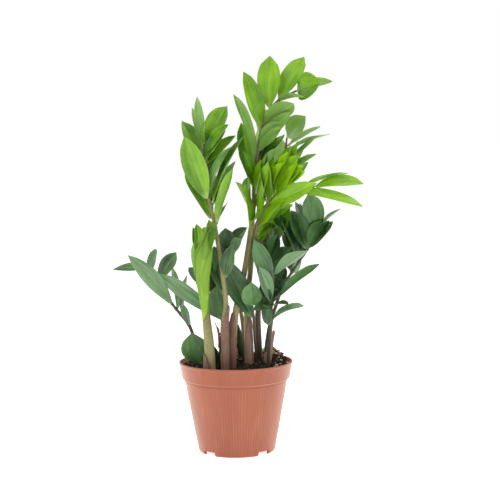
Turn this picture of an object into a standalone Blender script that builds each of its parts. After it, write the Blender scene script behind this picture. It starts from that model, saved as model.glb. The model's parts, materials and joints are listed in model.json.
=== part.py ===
"""Potted ZZ plant: a plastic nursery pot, its soil, and stems with sheaths and leaflets.

Run with: blender --background --python part.py
Lengths are in metres in the scene. The plant's own tables are in millimetres, as their names say.
The pot stands on Z = 0 with its axis on Z, and the front of the plant looks along -Y.
"""

import math

import bmesh
import bpy
from mathutils import Vector

MM = 0.001

# ---------- pot ----------
POT_HEIGHT = 95 * MM
RIM_RADIUS = 60 * MM
RIM_BAND_HEIGHT = 17.5 * MM
RIM_BAND_TAPER = 3.5 * MM  # how much the band draws in from its top to its foot
SHOULDER_STEP = 2.5 * MM  # the ledge under the band, where a stacked pot would catch
FOOT_RADIUS = 40.5 * MM
FOOT_ROUNDING = 2 * MM
FOOT_RING_WIDTH = 3.2 * MM
WALL = 1.4 * MM
FLOOR_THICKNESS = 1.8 * MM
LIP_WIDTH = 2.2 * MM
LIP_HEIGHT = 1.6 * MM
WELL_RADIUS = 22 * MM  # the flat middle of the floor, which the pot also stands on
CHANNEL_HEIGHT = 4.8 * MM  # the raised floor between the middle and the foot ring
NOTCH_COUNT = 4
NOTCH_WIDTH = 16 * MM
NOTCH_HEIGHT = 4.5 * MM
DRAIN_COUNT = 8
DRAIN_RADIUS = 3 * MM
POT_STEPS = 48
DRAIN_STEPS = 12

# ---------- soil ----------
CLEARANCE = 0.35 * MM  # between any two pieces that lie against each other
SOIL_FRONT_DROP = 9 * MM  # from the top of the rim down to the soil, at the front
SOIL_BACK_DROP = 3.5 * MM
MOUND_HEIGHT = 4 * MM
MOUND_RADIUS = 30 * MM
MOUND_CENTRE = Vector((12 * MM, 6 * MM))
CRUMB_HEIGHT = 0.7 * MM
CRUMB_PITCH = (7 * MM, 9 * MM)  # along X and along Y, each one full wave
SLOPE_LENGTH = 96 * MM  # front to back
SOIL_RINGS = 9
SOIL_STEPS = 36

# ---------- stems ----------
STEM_SEAT_DEPTH = 12 * MM  # how far a stem goes into the soil
STEM_POINTS_PER_SPAN = 3
STEM_ROUNDNESS = 2

# ---------- sheaths ----------
SHEATH_THICKNESS = 0.6 * MM
SHEATH_STAND_OFF = 0.55 * MM  # from the stem to the sheath's inner face
SOCKET_SLACK = 0.3 * MM
SHEATH_TAPER = 0.6  # 1 would be a plain triangle; less keeps the sheath wide for longer
SHEATH_TIP_SHARE = 0.05  # of the foot's half-angle, left at the tip
SHEATH_GRID = (6, 6)

# ---------- leaflets ----------
LEAF_THICKNESS = 0.8 * MM
LEAF_GRID = (8, 4)
LEAF_STALK_WIDTH = 1.6 * MM
LEAF_TIP_WIDTH = 0.9 * MM
LEAF_FOLD = 0.22  # how far the two halves lift off the midrib plane, as a slope
LEAF_WIDEST = 1.1  # above 1 the widest place is past the middle, towards the tip
LEAF_FULLNESS = 0.75  # below 1 the outline is fuller than a sine

# The heights in the four tables below are measured from the top of the rim.
# Each stem: (x, y, height, radius) points in millimetres from where it leaves the soil to its end.
STEMS_MM = {
    "young_shoot_petiole": [(-26, -28, -7, 5.2), (-27, -28, 21, 5.0), (-30, -29, 55, 3.8)],
    "left_stem": [
        (-11, -21, -7, 3.6), (-12, -22, 41, 2.8), (-9, -23, 63, 2.6), (-14, -26, 107, 2.4),
        (-20, -28, 148, 2.0), (-27, -30, 180, 1.6), (-29, -31, 207, 1.3), (-29, -32, 229, 1.0),
    ],
    "tall_stem": [
        (-4, -11, -5, 3.8), (0, -12, 50, 3.4), (7, -10, 81, 3.1), (12, -9, 105, 2.9),
        (20, -6, 159, 2.5), (22, -3, 195, 2.2), (27, 0, 229, 1.9), (32, 1, 249, 1.7),
        (40, 2, 265, 1.4), (52, 2, 275, 1.2), (67, 2, 282, 0.9),
    ],
    "right_stem": [
        (14, -1, -4, 3.8), (12, -1, 51, 3.2), (16, 1, 91, 2.8), (20, 1, 128, 2.4),
        (25, -4, 147, 2.1), (33, -10, 163, 1.8), (48, -14, 176, 1.5), (65, -16, 181, 1.2),
        (84, -18, 183, 0.9),
    ],
    "rear_stem": [
        (8, 14, -3, 2.4), (8, 14, 33, 2.2), (5, 16, 62, 2.1), (12, 20, 104, 1.9),
        (29, 26, 146, 1.7), (45, 32, 183, 1.4), (54, 36, 210, 1.2), (57, 40, 234, 0.9),
    ],
    "thin_stem": [(22, 4, -3, 1.6), (20, -5, 26, 1.5), (19, -15, 50, 1.3), (18, -18, 60, 1.0)],
    "short_stem": [
        (-18, -6, -5, 1.7), (-15, -6, 23, 1.5), (-14, -6, 45, 1.4), (-14, -6, 65, 1.3),
        (-10, -5, 91, 1.1), (-7, -4, 117, 0.9),
    ],
    "dark_stem": [
        (25, 12, -3, 3.8), (24, 12, 25, 3.4), (24, 12, 50, 3.0), (28, 13, 73, 2.4),
        (33, 15, 100, 1.8), (37, 18, 131, 1.0),
    ],
    "old_stem": [
        (32, 5, -3, 3.6), (35, 7, 23, 3.2), (38, 9, 42, 2.2), (43, 11, 56, 1.8),
        (50, 13, 76, 1.6), (59, 16, 89, 1.5), (68, 19, 102, 1.4), (79, 22, 118, 1.2),
        (86, 25, 134, 0.9),
    ],
    "pale_stem": [
        (34, -6, -5, 2.0), (36, -7, 25, 1.6), (38, -9, 59, 1.3), (40, -11, 79, 1.1),
        (41, -12, 92, 0.9),
    ],
    "low_stem": [
        (-34, -6, -6, 2.0), (-46, -2, 32, 1.8), (-51, -1, 42, 1.7), (-67, 3, 61, 1.4),
        (-84, 9, 86, 1.1), (-91, 11, 96, 0.9),
    ],
}

# The furled young leaf above its petiole, as (x, y, height, radius) in millimetres.
SPEAR_MM = [
    (-30, -29, 55.6, 3.4), (-32, -29, 77, 5.0), (-33, -30, 100, 7.0), (-33, -31, 119, 8.6),
    (-31, -32, 131, 5.6), (-28, -32, 143, 1.2),
]

# Each sheath: stem, lowest and highest height in millimetres, the azimuth in degrees that its back
# looks to (0 is +X, -90 the front), its half-angle at the foot and how far its tip stands off in mm.
SHEATHS = {
    "left_stem_sheath": ("left_stem", -15, 62, -50, 105, 0.4),
    "tall_stem_sheath": ("tall_stem", -15, 53, -125, 110, 0.4),
    "right_stem_sheath": ("right_stem", -14, 47, -55, 105, 0.4),
    "old_stem_sheath": ("old_stem", -13, 31, -40, 95, 1.2),
    "young_shoot_sheath": ("young_shoot_petiole", -15, 13, -160, 100, 0.6),
    "dried_sheath": ("short_stem", 15, 41, 190, 95, 4.5),
}

# Each leaflet: stem, height in millimetres where it joins the stem, reach from there to its tip,
# the way its upper face looks, its width and how far its middle arches towards that face.
LEAFLETS = {
    "tall_stem_leaflet_1": ("tall_stem", 264, (0, -3, 54), (0, -1, 0.2), 23, 2),
    "tall_stem_leaflet_2": ("tall_stem", 273, (26, 8, 44), (-0.4, -1, 0.4), 22, 2),
    "tall_stem_leaflet_3": ("tall_stem", 282, (23, -23, 6), (-0.4, -0.9, 0.2), 28, 3),
    "tall_stem_leaflet_4": ("tall_stem", 282, (38, 14, 10), (0, -0.8, 1), 14, 2),
    "tall_stem_leaflet_5": ("tall_stem", 245, (-19, -17, 56), (0.5, -1, 0.2), 20, 2),
    "tall_stem_leaflet_6": ("tall_stem", 248, (31, -23, 20), (-0.2, 0.9, 0.5), 22, 2),
    "tall_stem_leaflet_7": ("tall_stem", 223, (25, -22, 26), (0.2, -1, 0.7), 18, 2),
    "tall_stem_leaflet_8": ("tall_stem", 205, (-22, -22, 73), (1, -0.4, 0), 20, 3),
    "tall_stem_leaflet_9": ("tall_stem", 185, (-13, 20, 65), (0.4, -1, 0), 20, 2),
    "rear_stem_leaflet_1": ("rear_stem", 234, (19, -20, 22), (-0.3, -1, 0.3), 22, 2),
    "rear_stem_leaflet_2": ("rear_stem", 220, (48, 4, 17), (0, -0.2, 1), 16, 2),
    "rear_stem_leaflet_3": ("rear_stem", 186, (41, -16, 30), (0, -0.5, 1), 18, 2),
    "right_stem_leaflet_1": ("right_stem", 166, (-8, -6, 45), (-1, -0.5, 0), 20, 2),
    "right_stem_leaflet_2": ("right_stem", 172, (8, -10, 42), (-1, -0.6, 0.3), 20, 2),
    "right_stem_leaflet_3": ("right_stem", 180, (7, 10, 50), (-1, -0.4, 0.2), 18, 2),
    "right_stem_leaflet_4": ("right_stem", 161, (53, -32, 26), (0, -1, 0.5), 18, 2),
    "right_stem_leaflet_5": ("right_stem", 182, (47, 10, 14), (0, 0, 1), 18, 2),
    "right_stem_leaflet_6": ("right_stem", 183, (50, -6, 2), (0, -0.7, 1), 20, 2),
    "right_stem_leaflet_7": ("right_stem", 180, (71, -30, -17), (0.2, -0.6, 1), 20, 3),
    "left_stem_leaflet_1": ("left_stem", 173, (-23, -15, 63), (0, -1, 0.1), 23, 2),
    "left_stem_leaflet_2": ("left_stem", 207, (-23, 9, 45), (0.5, -0.8, 0.3), 20, 2),
    "left_stem_leaflet_3": ("left_stem", 152, (-29, 6, 51), (0.6, -0.8, 0.2), 20, 2),
    "left_stem_leaflet_4": ("left_stem", 229, (24, -4, 37), (-0.3, -1, 0.3), 20, 2),
    "left_stem_leaflet_5": ("left_stem", 167, (35, -8, 68), (-1, -0.3, 0.2), 18, 3),
    "short_stem_leaflet_1": ("short_stem", 117, (-2, -10, 24), (0, -1, 0.4), 18, 1),
    "short_stem_leaflet_2": ("short_stem", 45, (-5, -8, 36), (0, -1, 0.1), 20, 1),
    "short_stem_leaflet_3": ("short_stem", 46, (-68, 12, 47), (0, -0.7, 0.7), 17, 3),
    "thin_stem_leaflet_1": ("thin_stem", 47, (-32, -5, 64), (0.2, -1, 0.1), 23, 0),
    "thin_stem_leaflet_2": ("thin_stem", 60, (-1, -12, 26), (0, -1, 0.6), 20, 2),
    "old_stem_leaflet_1": ("old_stem", 134, (-7, -10, 41), (0, -1, 0), 22, 2),
    "old_stem_leaflet_2": ("old_stem", 119, (-15, -6, 47), (1, -0.5, 0), 20, 2),
    "old_stem_leaflet_3": ("old_stem", 102, (-20, -6, 50), (1, -0.7, 0.2), 20, 2),
    "old_stem_leaflet_4": ("old_stem", 118, (25, -13, 27), (-0.4, -0.8, 0.5), 14, 1),
    "pale_stem_leaflet_1": ("pale_stem", 79, (-20, -18, 51), (0.2, -1, 0.2), 18, 2),
    "pale_stem_leaflet_2": ("pale_stem", 92, (35, -16, 26), (0, 0.5, 1), 20, 2),
    "pale_stem_leaflet_3": ("pale_stem", 64, (49, -10, 39), (0, -0.4, 1), 18, 3),
    "low_stem_leaflet_1": ("low_stem", 61, (-43, -20, 53), (0.3, -1, 0.3), 17, 3),
    "low_stem_leaflet_2": ("low_stem", 96, (-39, 8, 0), (0, -0.5, 0.9), 14, 2),
    "low_stem_leaflet_3": ("low_stem", 83, (20, 9, 31), (-0.3, -0.9, 0.3), 16, 1),
    "ground_leaflet": ("low_stem", -2, (-10, -14, 35), (-0.2, -1, 0.1), 28, 1),
}

COLOURS = {
    "terracotta_plastic": ((0.57, 0.17, 0.11), 0.45),
    "potting_soil": ((0.03, 0.015, 0.012), 0.95),
    "bright_leaf": ((0.11, 0.34, 0.02), 0.35),
    "dark_leaf": ((0.04, 0.12, 0.04), 0.35),
    "young_leaf": ((0.28, 0.5, 0.04), 0.4),
    "green_stem": ((0.3, 0.36, 0.12), 0.5),
    "brown_stem": ((0.14, 0.1, 0.06), 0.7),
    "papery_sheath": ((0.3, 0.15, 0.1), 0.75),
}
DARK_LEAFED = ("short", "thin", "old", "pale", "low", "ground")
BROWN_STEMS = ("thin_stem", "short_stem", "dark_stem", "old_stem", "pale_stem", "low_stem")


def clear_scene():
    for old in list(bpy.data.objects):
        bpy.data.objects.remove(old, do_unlink=True)


def new_collection(name):
    made = bpy.data.collections.new(name)
    bpy.context.scene.collection.children.link(made)
    return made


def material(name):
    """The named Principled material, made the first time it is asked for."""
    if name in bpy.data.materials:
        return bpy.data.materials[name]
    colour, roughness = COLOURS[name]
    made = bpy.data.materials.new(name)
    made.use_nodes = True
    shader = made.node_tree.nodes["Principled BSDF"]
    shader.inputs["Base Color"].default_value = (*colour, 1)
    shader.inputs["Roughness"].default_value = roughness
    shader.inputs["Metallic"].default_value = 0
    made.diffuse_color = (*colour, 1)
    return made


def add_object(name, data, collection, surface=None):
    obj = bpy.data.objects.new(name, data)
    collection.objects.link(obj)
    if surface:
        data.materials.append(material(surface))
    return obj


def cutter(name, data):
    """A helper that only cuts: it never renders and shows as wires."""
    obj = add_object(name, data, CUTTERS)
    obj.hide_render = True
    obj.display_type = "WIRE"
    return obj


def cut(target, tool):
    boolean = target.modifiers.new(tool.name, "BOOLEAN")
    boolean.operation = "DIFFERENCE"
    boolean.solver = "EXACT"
    boolean.object = tool


# ---------- turned shapes ----------


def turned(name, profile, steps, collection, surface):
    """A closed solid turned about Z from an (radius, height) profile that starts and ends on the axis."""
    mesh = bpy.data.meshes.new(name)
    points = [(radius, 0, height) for radius, height in profile]
    mesh.from_pydata(points, [(i, i + 1) for i in range(len(points) - 1)], [])
    obj = add_object(name, mesh, collection, surface)
    screw = obj.modifiers.new("turn", "SCREW")
    screw.steps = steps
    screw.render_steps = steps
    screw.use_merge_vertices = True
    screw.merge_threshold = 0.0001
    screw.use_normal_calculate = True
    return obj


def applied(obj):
    """The object with its modifiers made into its mesh."""
    graph = bpy.context.evaluated_depsgraph_get()
    mesh = bpy.data.meshes.new_from_object(obj.evaluated_get(graph))
    obj.modifiers.clear()
    old = obj.data
    obj.data = mesh
    bpy.data.meshes.remove(old)
    return obj


def rim_foot_radius():
    """The band's outer radius at its lower edge."""
    return RIM_RADIUS - RIM_BAND_TAPER


def shoulder_radius():
    """The body's outer radius just under the band."""
    return rim_foot_radius() - SHOULDER_STEP


def shoulder_height():
    return POT_HEIGHT - RIM_BAND_HEIGHT


def body_radius(height):
    """The body's outer radius at a height between the foot's rounding and the shoulder."""
    share = (height - FOOT_ROUNDING) / (shoulder_height() - FOOT_ROUNDING)
    return FOOT_RADIUS + share * (shoulder_radius() - FOOT_RADIUS)


def foot_arc(steps=3):
    """The rounded outer edge of the foot, from the wall down to the floor."""
    turn = (math.pi / 2) / steps
    return [
        (
            FOOT_RADIUS - FOOT_ROUNDING * (1 - math.cos(step * turn)),
            FOOT_ROUNDING * (1 - math.sin(step * turn)),
        )
        for step in range(steps + 1)
    ]


def inner_outline(inset):
    """The hollow's outline from its mouth down to the axis, drawn in from the walls by an inset."""
    channel_top = CHANNEL_HEIGHT + FLOOR_THICKNESS + inset
    well_edge = WELL_RADIUS - FLOOR_THICKNESS - inset
    return [
        (RIM_RADIUS - WALL - inset, POT_HEIGHT - LIP_HEIGHT),
        (rim_foot_radius() - WALL - inset, shoulder_height()),
        (shoulder_radius() - WALL - inset, shoulder_height() - WALL),
        (body_radius(channel_top) - WALL - inset, channel_top),
        (well_edge + WALL / 2, channel_top),
        (well_edge, FLOOR_THICKNESS + inset),
        (0, FLOOR_THICKNESS + inset),
    ]


def underside():
    """The floor's lower outline, from the foot ring in to the axis."""
    ring_edge = FOOT_RADIUS - FOOT_RING_WIDTH
    return [
        (ring_edge, 0),
        (ring_edge - WALL / 3, CHANNEL_HEIGHT),
        (WELL_RADIUS + WALL / 2, CHANNEL_HEIGHT),
        (WELL_RADIUS, 0),
        (0, 0),
    ]


def build_pot():
    outer = [
        (RIM_RADIUS - LIP_WIDTH, POT_HEIGHT),
        (RIM_RADIUS - LIP_WIDTH / 4, POT_HEIGHT),
        (RIM_RADIUS, POT_HEIGHT - LIP_HEIGHT / 2),
        (rim_foot_radius(), shoulder_height()),
        (shoulder_radius(), shoulder_height() - WALL / 2),
    ]
    inner = inner_outline(0)
    profile = [*reversed(inner), *outer, *foot_arc(), *underside()]
    pot = turned("pot", profile, POT_STEPS, PARTS, "terracotta_plastic")
    for index in range(NOTCH_COUNT):
        cut(pot, notch_cutter(index))
    for index in range(DRAIN_COUNT):
        cut(pot, drain_cutter(index))
    return pot


def notch_cutter(index):
    """A box that opens one notch through the foot ring."""
    angle = (index + 0.5) * math.tau / NOTCH_COUNT
    length = FOOT_RING_WIDTH * 4
    mesh = bpy.data.meshes.new(f"notch_cutter_{index}")
    shape = bmesh.new()
    bmesh.ops.create_cube(shape, size=1)
    bmesh.ops.scale(shape, vec=(length, NOTCH_WIDTH, 2 * NOTCH_HEIGHT), verts=shape.verts)
    shape.to_mesh(mesh)
    shape.free()
    tool = cutter(mesh.name, mesh)
    tool.location = (FOOT_RADIUS * math.cos(angle), FOOT_RADIUS * math.sin(angle), 0)
    tool.rotation_euler.z = angle
    return tool


def drain_cutter(index):
    """A pin that opens one round hole through the raised floor."""
    angle = (index + 0.5) * math.tau / DRAIN_COUNT
    middle = (WELL_RADIUS + FOOT_RADIUS - FOOT_RING_WIDTH) / 2
    mesh = bpy.data.meshes.new(f"drain_cutter_{index}")
    shape = bmesh.new()
    bmesh.ops.create_cone(
        shape,
        cap_ends=True,
        segments=DRAIN_STEPS,
        radius1=DRAIN_RADIUS,
        radius2=DRAIN_RADIUS,
        depth=4 * FLOOR_THICKNESS,
    )
    shape.to_mesh(mesh)
    shape.free()
    tool = cutter(mesh.name, mesh)
    height = CHANNEL_HEIGHT + FLOOR_THICKNESS / 2
    tool.location = (middle * math.cos(angle), middle * math.sin(angle), height)
    return tool


# ---------- soil ----------


def wall_radius_at(height):
    """The hollow's radius at a height inside the rim band."""
    (top_radius, top), (foot_radius, foot) = inner_outline(CLEARANCE)[:2]
    share = (height - foot) / (top - foot)
    return foot_radius + share * (top_radius - foot_radius)


def soil_height(x, y):
    """The soil's surface: it rises to the back, with a low mound round the stems and small crumbs."""
    front = POT_HEIGHT - SOIL_FRONT_DROP
    back = POT_HEIGHT - SOIL_BACK_DROP
    share = min(max(0.5 + y / SLOPE_LENGTH, 0), 1)
    share = share * share * (3 - 2 * share)
    distance = (Vector((x, y)) - MOUND_CENTRE).length / MOUND_RADIUS
    mound = MOUND_HEIGHT * math.exp(-distance * distance)
    ripple = math.sin(math.tau * x / CRUMB_PITCH[0] + 1) * math.sin(math.tau * y / CRUMB_PITCH[1] + 2)
    return front + share * (back - front) + mound + CRUMB_HEIGHT * ripple


def build_soil():
    level = POT_HEIGHT - SOIL_FRONT_DROP
    edge = wall_radius_at(level)
    rings = [(edge * ring / SOIL_RINGS, level) for ring in range(SOIL_RINGS + 1)]
    walls = inner_outline(CLEARANCE)[1:]
    soil = applied(turned("soil", [*rings, *walls], SOIL_STEPS, PARTS, "potting_soil"))
    for vertex in soil.data.vertices:
        if vertex.co.z < level - CLEARANCE:
            continue
        vertex.co.z = soil_height(vertex.co.x, vertex.co.y)
        radius = Vector((vertex.co.x, vertex.co.y)).length
        if radius > edge - CLEARANCE:
            widen = wall_radius_at(vertex.co.z) / radius
            vertex.co.x *= widen
            vertex.co.y *= widen
    return soil


# ---------- stems ----------


def smooth_points(points, per_span):
    """A smooth curve through the points (Catmull-Rom), with some points in each span."""
    ends = [points[0] * 2 - points[1], *points, points[-1] * 2 - points[-2]]
    route = []
    for i in range(1, len(ends) - 2):
        before, start, end, after = ends[i - 1 : i + 3]
        for step in range(per_span):
            t = step / per_span
            bend = before * -1 + start * 3 - end * 3 + after
            lean = before * 2 - start * 5 + end * 4 - after
            route.append((start * 2 + (end - before) * t + lean * t**2 + bend * t**3) * 0.5)
    return [*route, points[-1]]


def from_rim(points):
    """Table points as 4-vectors in metres, with the floor as the zero of height."""
    lift = Vector((0, 0, POT_HEIGHT, 0))
    return [Vector(point) * MM + lift for point in points]


def stem_route(name):
    """The stem's centre line and radii as 4-vectors in metres, from its seat in the soil to its end."""
    points = from_rim(STEMS_MM[name])
    seat = points[0].copy()
    seat.z -= STEM_SEAT_DEPTH
    room = shoulder_radius() - WALL - 2 * CLEARANCE - seat.w
    inward = min(room / seat.xy.length, 1)  # a narrow pot pushes the seat in off its wall
    seat.x *= inward
    seat.y *= inward
    return smooth_points([seat, *points], STEM_POINTS_PER_SPAN)


def at_height(route, height):
    """(centre, direction, radius) of a route at a height."""
    for low, high in zip(route, route[1:]):
        if height <= high.z:
            break
    share = min(max((height - low.z) / (high.z - low.z), 0), 1)
    here = low.lerp(high, share)
    return here.xyz, (high.xyz - low.xyz).normalized(), here.w


def tube(name, route, collection, surface=None, extra=0.0):
    """A round stem along a route of (x, y, z, radius), thicker by an extra on its radius."""
    curve = bpy.data.curves.new(name, "CURVE")
    curve.dimensions = "3D"
    curve.bevel_depth = 1
    curve.bevel_resolution = STEM_ROUNDNESS
    curve.use_fill_caps = True
    spline = curve.splines.new("POLY")
    spline.points.add(len(route) - 1)
    for point, place in zip(spline.points, route):
        point.co = (*place.xyz, 1)
        point.radius = place.w + extra
    return add_object(name, curve, collection, surface)


def meshed(obj):
    """The curve object made into a closed mesh object of the same name."""
    graph = bpy.context.evaluated_depsgraph_get()
    mesh = bpy.data.meshes.new_from_object(obj.evaluated_get(graph))
    shape = bmesh.new()
    shape.from_mesh(mesh)
    bmesh.ops.remove_doubles(shape, verts=shape.verts, dist=0.01 * MM)
    bmesh.ops.recalc_face_normals(shape, faces=shape.faces)
    shape.to_mesh(mesh)
    shape.free()
    name, place = obj.name, obj.matrix_world.copy()
    bpy.data.objects.remove(obj, do_unlink=True)
    made = cutter(name, mesh)
    made.matrix_world = place
    return made


def sheathed_stems():
    """The stems whose sheath goes down into the soil with them."""
    return {stem for stem, foot, *_ in SHEATHS.values() if foot * MM < -SOIL_FRONT_DROP}


def socket_cutter(name):
    """The hole in the soil that a stem, with its sheath if it has one, stands in."""
    route = stem_route(name)
    wrap = CLEARANCE
    if name in sheathed_stems():
        wrap += SHEATH_STAND_OFF + SHEATH_THICKNESS + SOCKET_SLACK
    seat = route[0].copy()
    seat.z -= CLEARANCE
    buried = sum(point.z < POT_HEIGHT + MOUND_HEIGHT for point in route)
    return meshed(tube(f"{name}_socket", [seat, *route[1 : buried + 1]], CUTTERS, extra=wrap))


def build_stems(soil):
    for name in STEMS_MM:
        surface = "brown_stem" if name in BROWN_STEMS else "green_stem"
        tube(name, stem_route(name), PARTS, surface)
        cut(soil, socket_cutter(name))
    spear = smooth_points(from_rim(SPEAR_MM), STEM_POINTS_PER_SPAN)
    tube("young_shoot_spear", spear, PARTS, "young_leaf")


# ---------- thin curved pieces ----------


def thin_piece(name, grid, place, thickness, surface):
    """A thin closed piece: a grid whose points go to place(u, v), with u 0..1 and v -1..1."""
    shape = bmesh.new()
    bmesh.ops.create_grid(shape, x_segments=grid[0], y_segments=grid[1], size=1)
    for vertex in shape.verts:
        vertex.co = place((vertex.co.x + 1) / 2, vertex.co.y)
    mesh = bpy.data.meshes.new(name)
    shape.to_mesh(mesh)
    shape.free()
    obj = add_object(name, mesh, PARTS, surface)
    solidify = obj.modifiers.new("thickness", "SOLIDIFY")
    solidify.thickness = thickness
    solidify.offset = 0
    return obj


def build_sheath(name):
    stem, foot, tip, azimuth, half_angle, stand_off = SHEATHS[name]
    route = stem_route(stem)
    middle = math.radians(azimuth)
    widest = math.radians(half_angle)

    def place(u, v):
        centre, _, radius = at_height(route, POT_HEIGHT + (foot + (tip - foot) * u) * MM)
        share = SHEATH_TIP_SHARE + (1 - SHEATH_TIP_SHARE) * (1 - u) ** SHEATH_TAPER
        angle = middle + v * widest * share
        radius += SHEATH_STAND_OFF + SHEATH_THICKNESS / 2 + stand_off * MM * u**3
        return centre + Vector((math.cos(angle), math.sin(angle), 0)) * radius

    return thin_piece(name, SHEATH_GRID, place, SHEATH_THICKNESS, "papery_sheath")


def blade_half_width(u, width):
    """A leaflet's half-width along its length: a short stalk, a full middle and a pointed tip."""
    stalk = LEAF_STALK_WIDTH / 2 * (1 - u) + LEAF_TIP_WIDTH / 2 * u
    return stalk + (width / 2 - stalk) * math.sin(math.pi * u**LEAF_WIDEST) ** LEAF_FULLNESS


def build_leaflet(name):
    stem, height, reach, faces, width, arch = LEAFLETS[name]
    route = stem_route(stem)
    joint = POT_HEIGHT + height * MM
    centre, along, radius = at_height(route, joint)
    tip = centre + Vector(reach) * MM
    axis = (tip - centre).normalized()
    outward = (axis - along * axis.dot(along)).normalized()
    ends_stem = joint >= route[-1].z - CLEARANCE
    gap = CLEARANCE + LEAF_THICKNESS / 2
    base = centre + (axis * gap if ends_stem else outward * (radius + gap))
    axis = (tip - base).normalized()
    upper = Vector(faces)
    upper = (upper - axis * upper.dot(axis)).normalized()
    side = axis.cross(upper)

    def place(u, v):
        out = v * blade_half_width(u, width * MM)
        lift = abs(out) * LEAF_FOLD + arch * MM * math.sin(math.pi * u)
        return base.lerp(tip, u) + side * out + upper * lift

    surface = "dark_leaf" if name.startswith(DARK_LEAFED) else "bright_leaf"
    return thin_piece(name, LEAF_GRID, place, LEAF_THICKNESS, surface)


def build():
    build_pot()
    build_stems(build_soil())
    for name in SHEATHS:
        build_sheath(name)
    for name in LEAFLETS:
        build_leaflet(name)


clear_scene()
PARTS = new_collection("potted_zz_plant")
CUTTERS = new_collection("cutters")
CUTTERS.hide_render = True
build()
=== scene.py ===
"""Potted ZZ plant: the detailed visual model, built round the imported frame.

Every stem, sheath and leaflet of the frame is measured from its own mesh and grown again as a finer
piece. The smaller leaflets that the frame leaves out grow from the frame's stems.
Lengths are in metres, and the tables say where they hold millimetres.
"""

import json
import math
import random

import bmesh
import bpy
import numpy as np
from mathutils import Matrix, Vector, bvhtree, noise


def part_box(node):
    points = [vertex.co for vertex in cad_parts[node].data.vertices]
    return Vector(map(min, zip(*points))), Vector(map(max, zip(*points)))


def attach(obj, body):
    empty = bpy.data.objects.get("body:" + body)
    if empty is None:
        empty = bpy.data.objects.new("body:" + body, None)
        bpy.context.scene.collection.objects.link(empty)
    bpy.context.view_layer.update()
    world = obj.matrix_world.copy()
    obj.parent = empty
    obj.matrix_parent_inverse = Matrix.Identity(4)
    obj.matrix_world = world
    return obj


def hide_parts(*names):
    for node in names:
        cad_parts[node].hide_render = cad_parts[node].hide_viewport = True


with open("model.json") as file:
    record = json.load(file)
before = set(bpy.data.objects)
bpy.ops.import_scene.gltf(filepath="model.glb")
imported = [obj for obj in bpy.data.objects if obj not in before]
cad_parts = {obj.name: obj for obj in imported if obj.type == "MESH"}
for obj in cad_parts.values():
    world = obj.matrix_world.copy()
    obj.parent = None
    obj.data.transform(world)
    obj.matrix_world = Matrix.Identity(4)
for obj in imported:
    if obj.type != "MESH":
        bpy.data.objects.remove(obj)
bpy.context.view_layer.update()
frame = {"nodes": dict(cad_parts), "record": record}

MM = 0.001
BODY = "root"
SLOT = {row["node"]: row["material_slot"] for row in frame["record"]["subparts"]}

_, pot_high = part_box("pot")
RIM = pot_high.x
POT_TOP = pot_high.z
SOIL_LEVEL = POT_TOP - 5 * MM  # at the middle of the pot


# ---------- small helpers ----------


def srgb(red, green, blue):
    """A scene-linear colour from an 8-bit screen colour."""

    def linear(value):
        value /= 255
        return value / 12.92 if value <= 0.04045 else ((value + 0.055) / 1.055) ** 2.4

    return (linear(red), linear(green), linear(blue), 1)


def smooth_step(value):
    value = min(max(value, 0), 1)
    return value * value * (3 - 2 * value)


def corners_of(node):
    """The node's triangles as an (n, 3, 3) array."""
    mesh = frame["nodes"][node].data
    mesh.calc_loop_triangles()
    places = np.array([vertex.co for vertex in mesh.vertices], float)
    return places[np.array([triangle.vertices for triangle in mesh.loop_triangles])]


def placed(name, data):
    """A new object in the scene."""
    obj = bpy.data.objects.new(name, data)
    bpy.context.scene.collection.objects.link(obj)
    return obj


def evaluated_mesh(obj):
    """The object's mesh with its modifiers, as a new mesh without materials; the object is removed."""
    bpy.context.view_layer.update()
    mesh = bpy.data.meshes.new_from_object(obj.evaluated_get(bpy.context.evaluated_depsgraph_get()))
    bpy.data.objects.remove(obj, do_unlink=True)
    mesh.materials.clear()
    return mesh


def mesh_of(name, shape):
    """A bmesh as a mesh; the bmesh is freed."""
    mesh = bpy.data.meshes.new(name)
    shape.to_mesh(mesh)
    shape.free()
    return mesh


def around(angle):
    """The level direction at an angle about +Z."""
    return Vector((math.cos(angle), math.sin(angle), 0))


def new_object(name, mesh, surface, slot, *replaced):
    """The mesh as a smooth-shaded piece of the model, on the frame's one body."""
    obj = placed(name, mesh)
    mesh.materials.append(surface)
    mesh.polygons.foreach_set("use_smooth", [True] * len(mesh.polygons))
    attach(obj, BODY)
    if replaced:
        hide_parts(*replaced)
    return obj


def point_values(mesh, **values):
    """Stores named numbers on the mesh's vertices, one each or one for all, for its material to read."""
    for name, numbers in values.items():
        layer = mesh.attributes.new(name, "FLOAT", "POINT")
        numbers = np.asarray(numbers, np.float32).ravel()
        layer.data.foreach_set("value", np.array(np.broadcast_to(numbers, len(mesh.vertices))))


def loft(name, rings):
    """A closed skin over rings of equally many points, each ring closed on itself."""
    count = len(rings[0])
    faces = []
    for row in range(len(rings) - 1):
        for step in range(count):
            after = (step + 1) % count
            low, high = row * count, (row + 1) * count
            faces.append((low + step, low + after, high + after, high + step))
    faces.append(tuple(reversed(range(count))))
    faces.append(tuple(range((len(rings) - 1) * count, len(rings) * count)))
    mesh = bpy.data.meshes.new(name)
    mesh.from_pydata(np.concatenate(rings).tolist(), [], faces)
    mesh.validate()
    return mesh


# ---------- measuring the frame ----------


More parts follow.
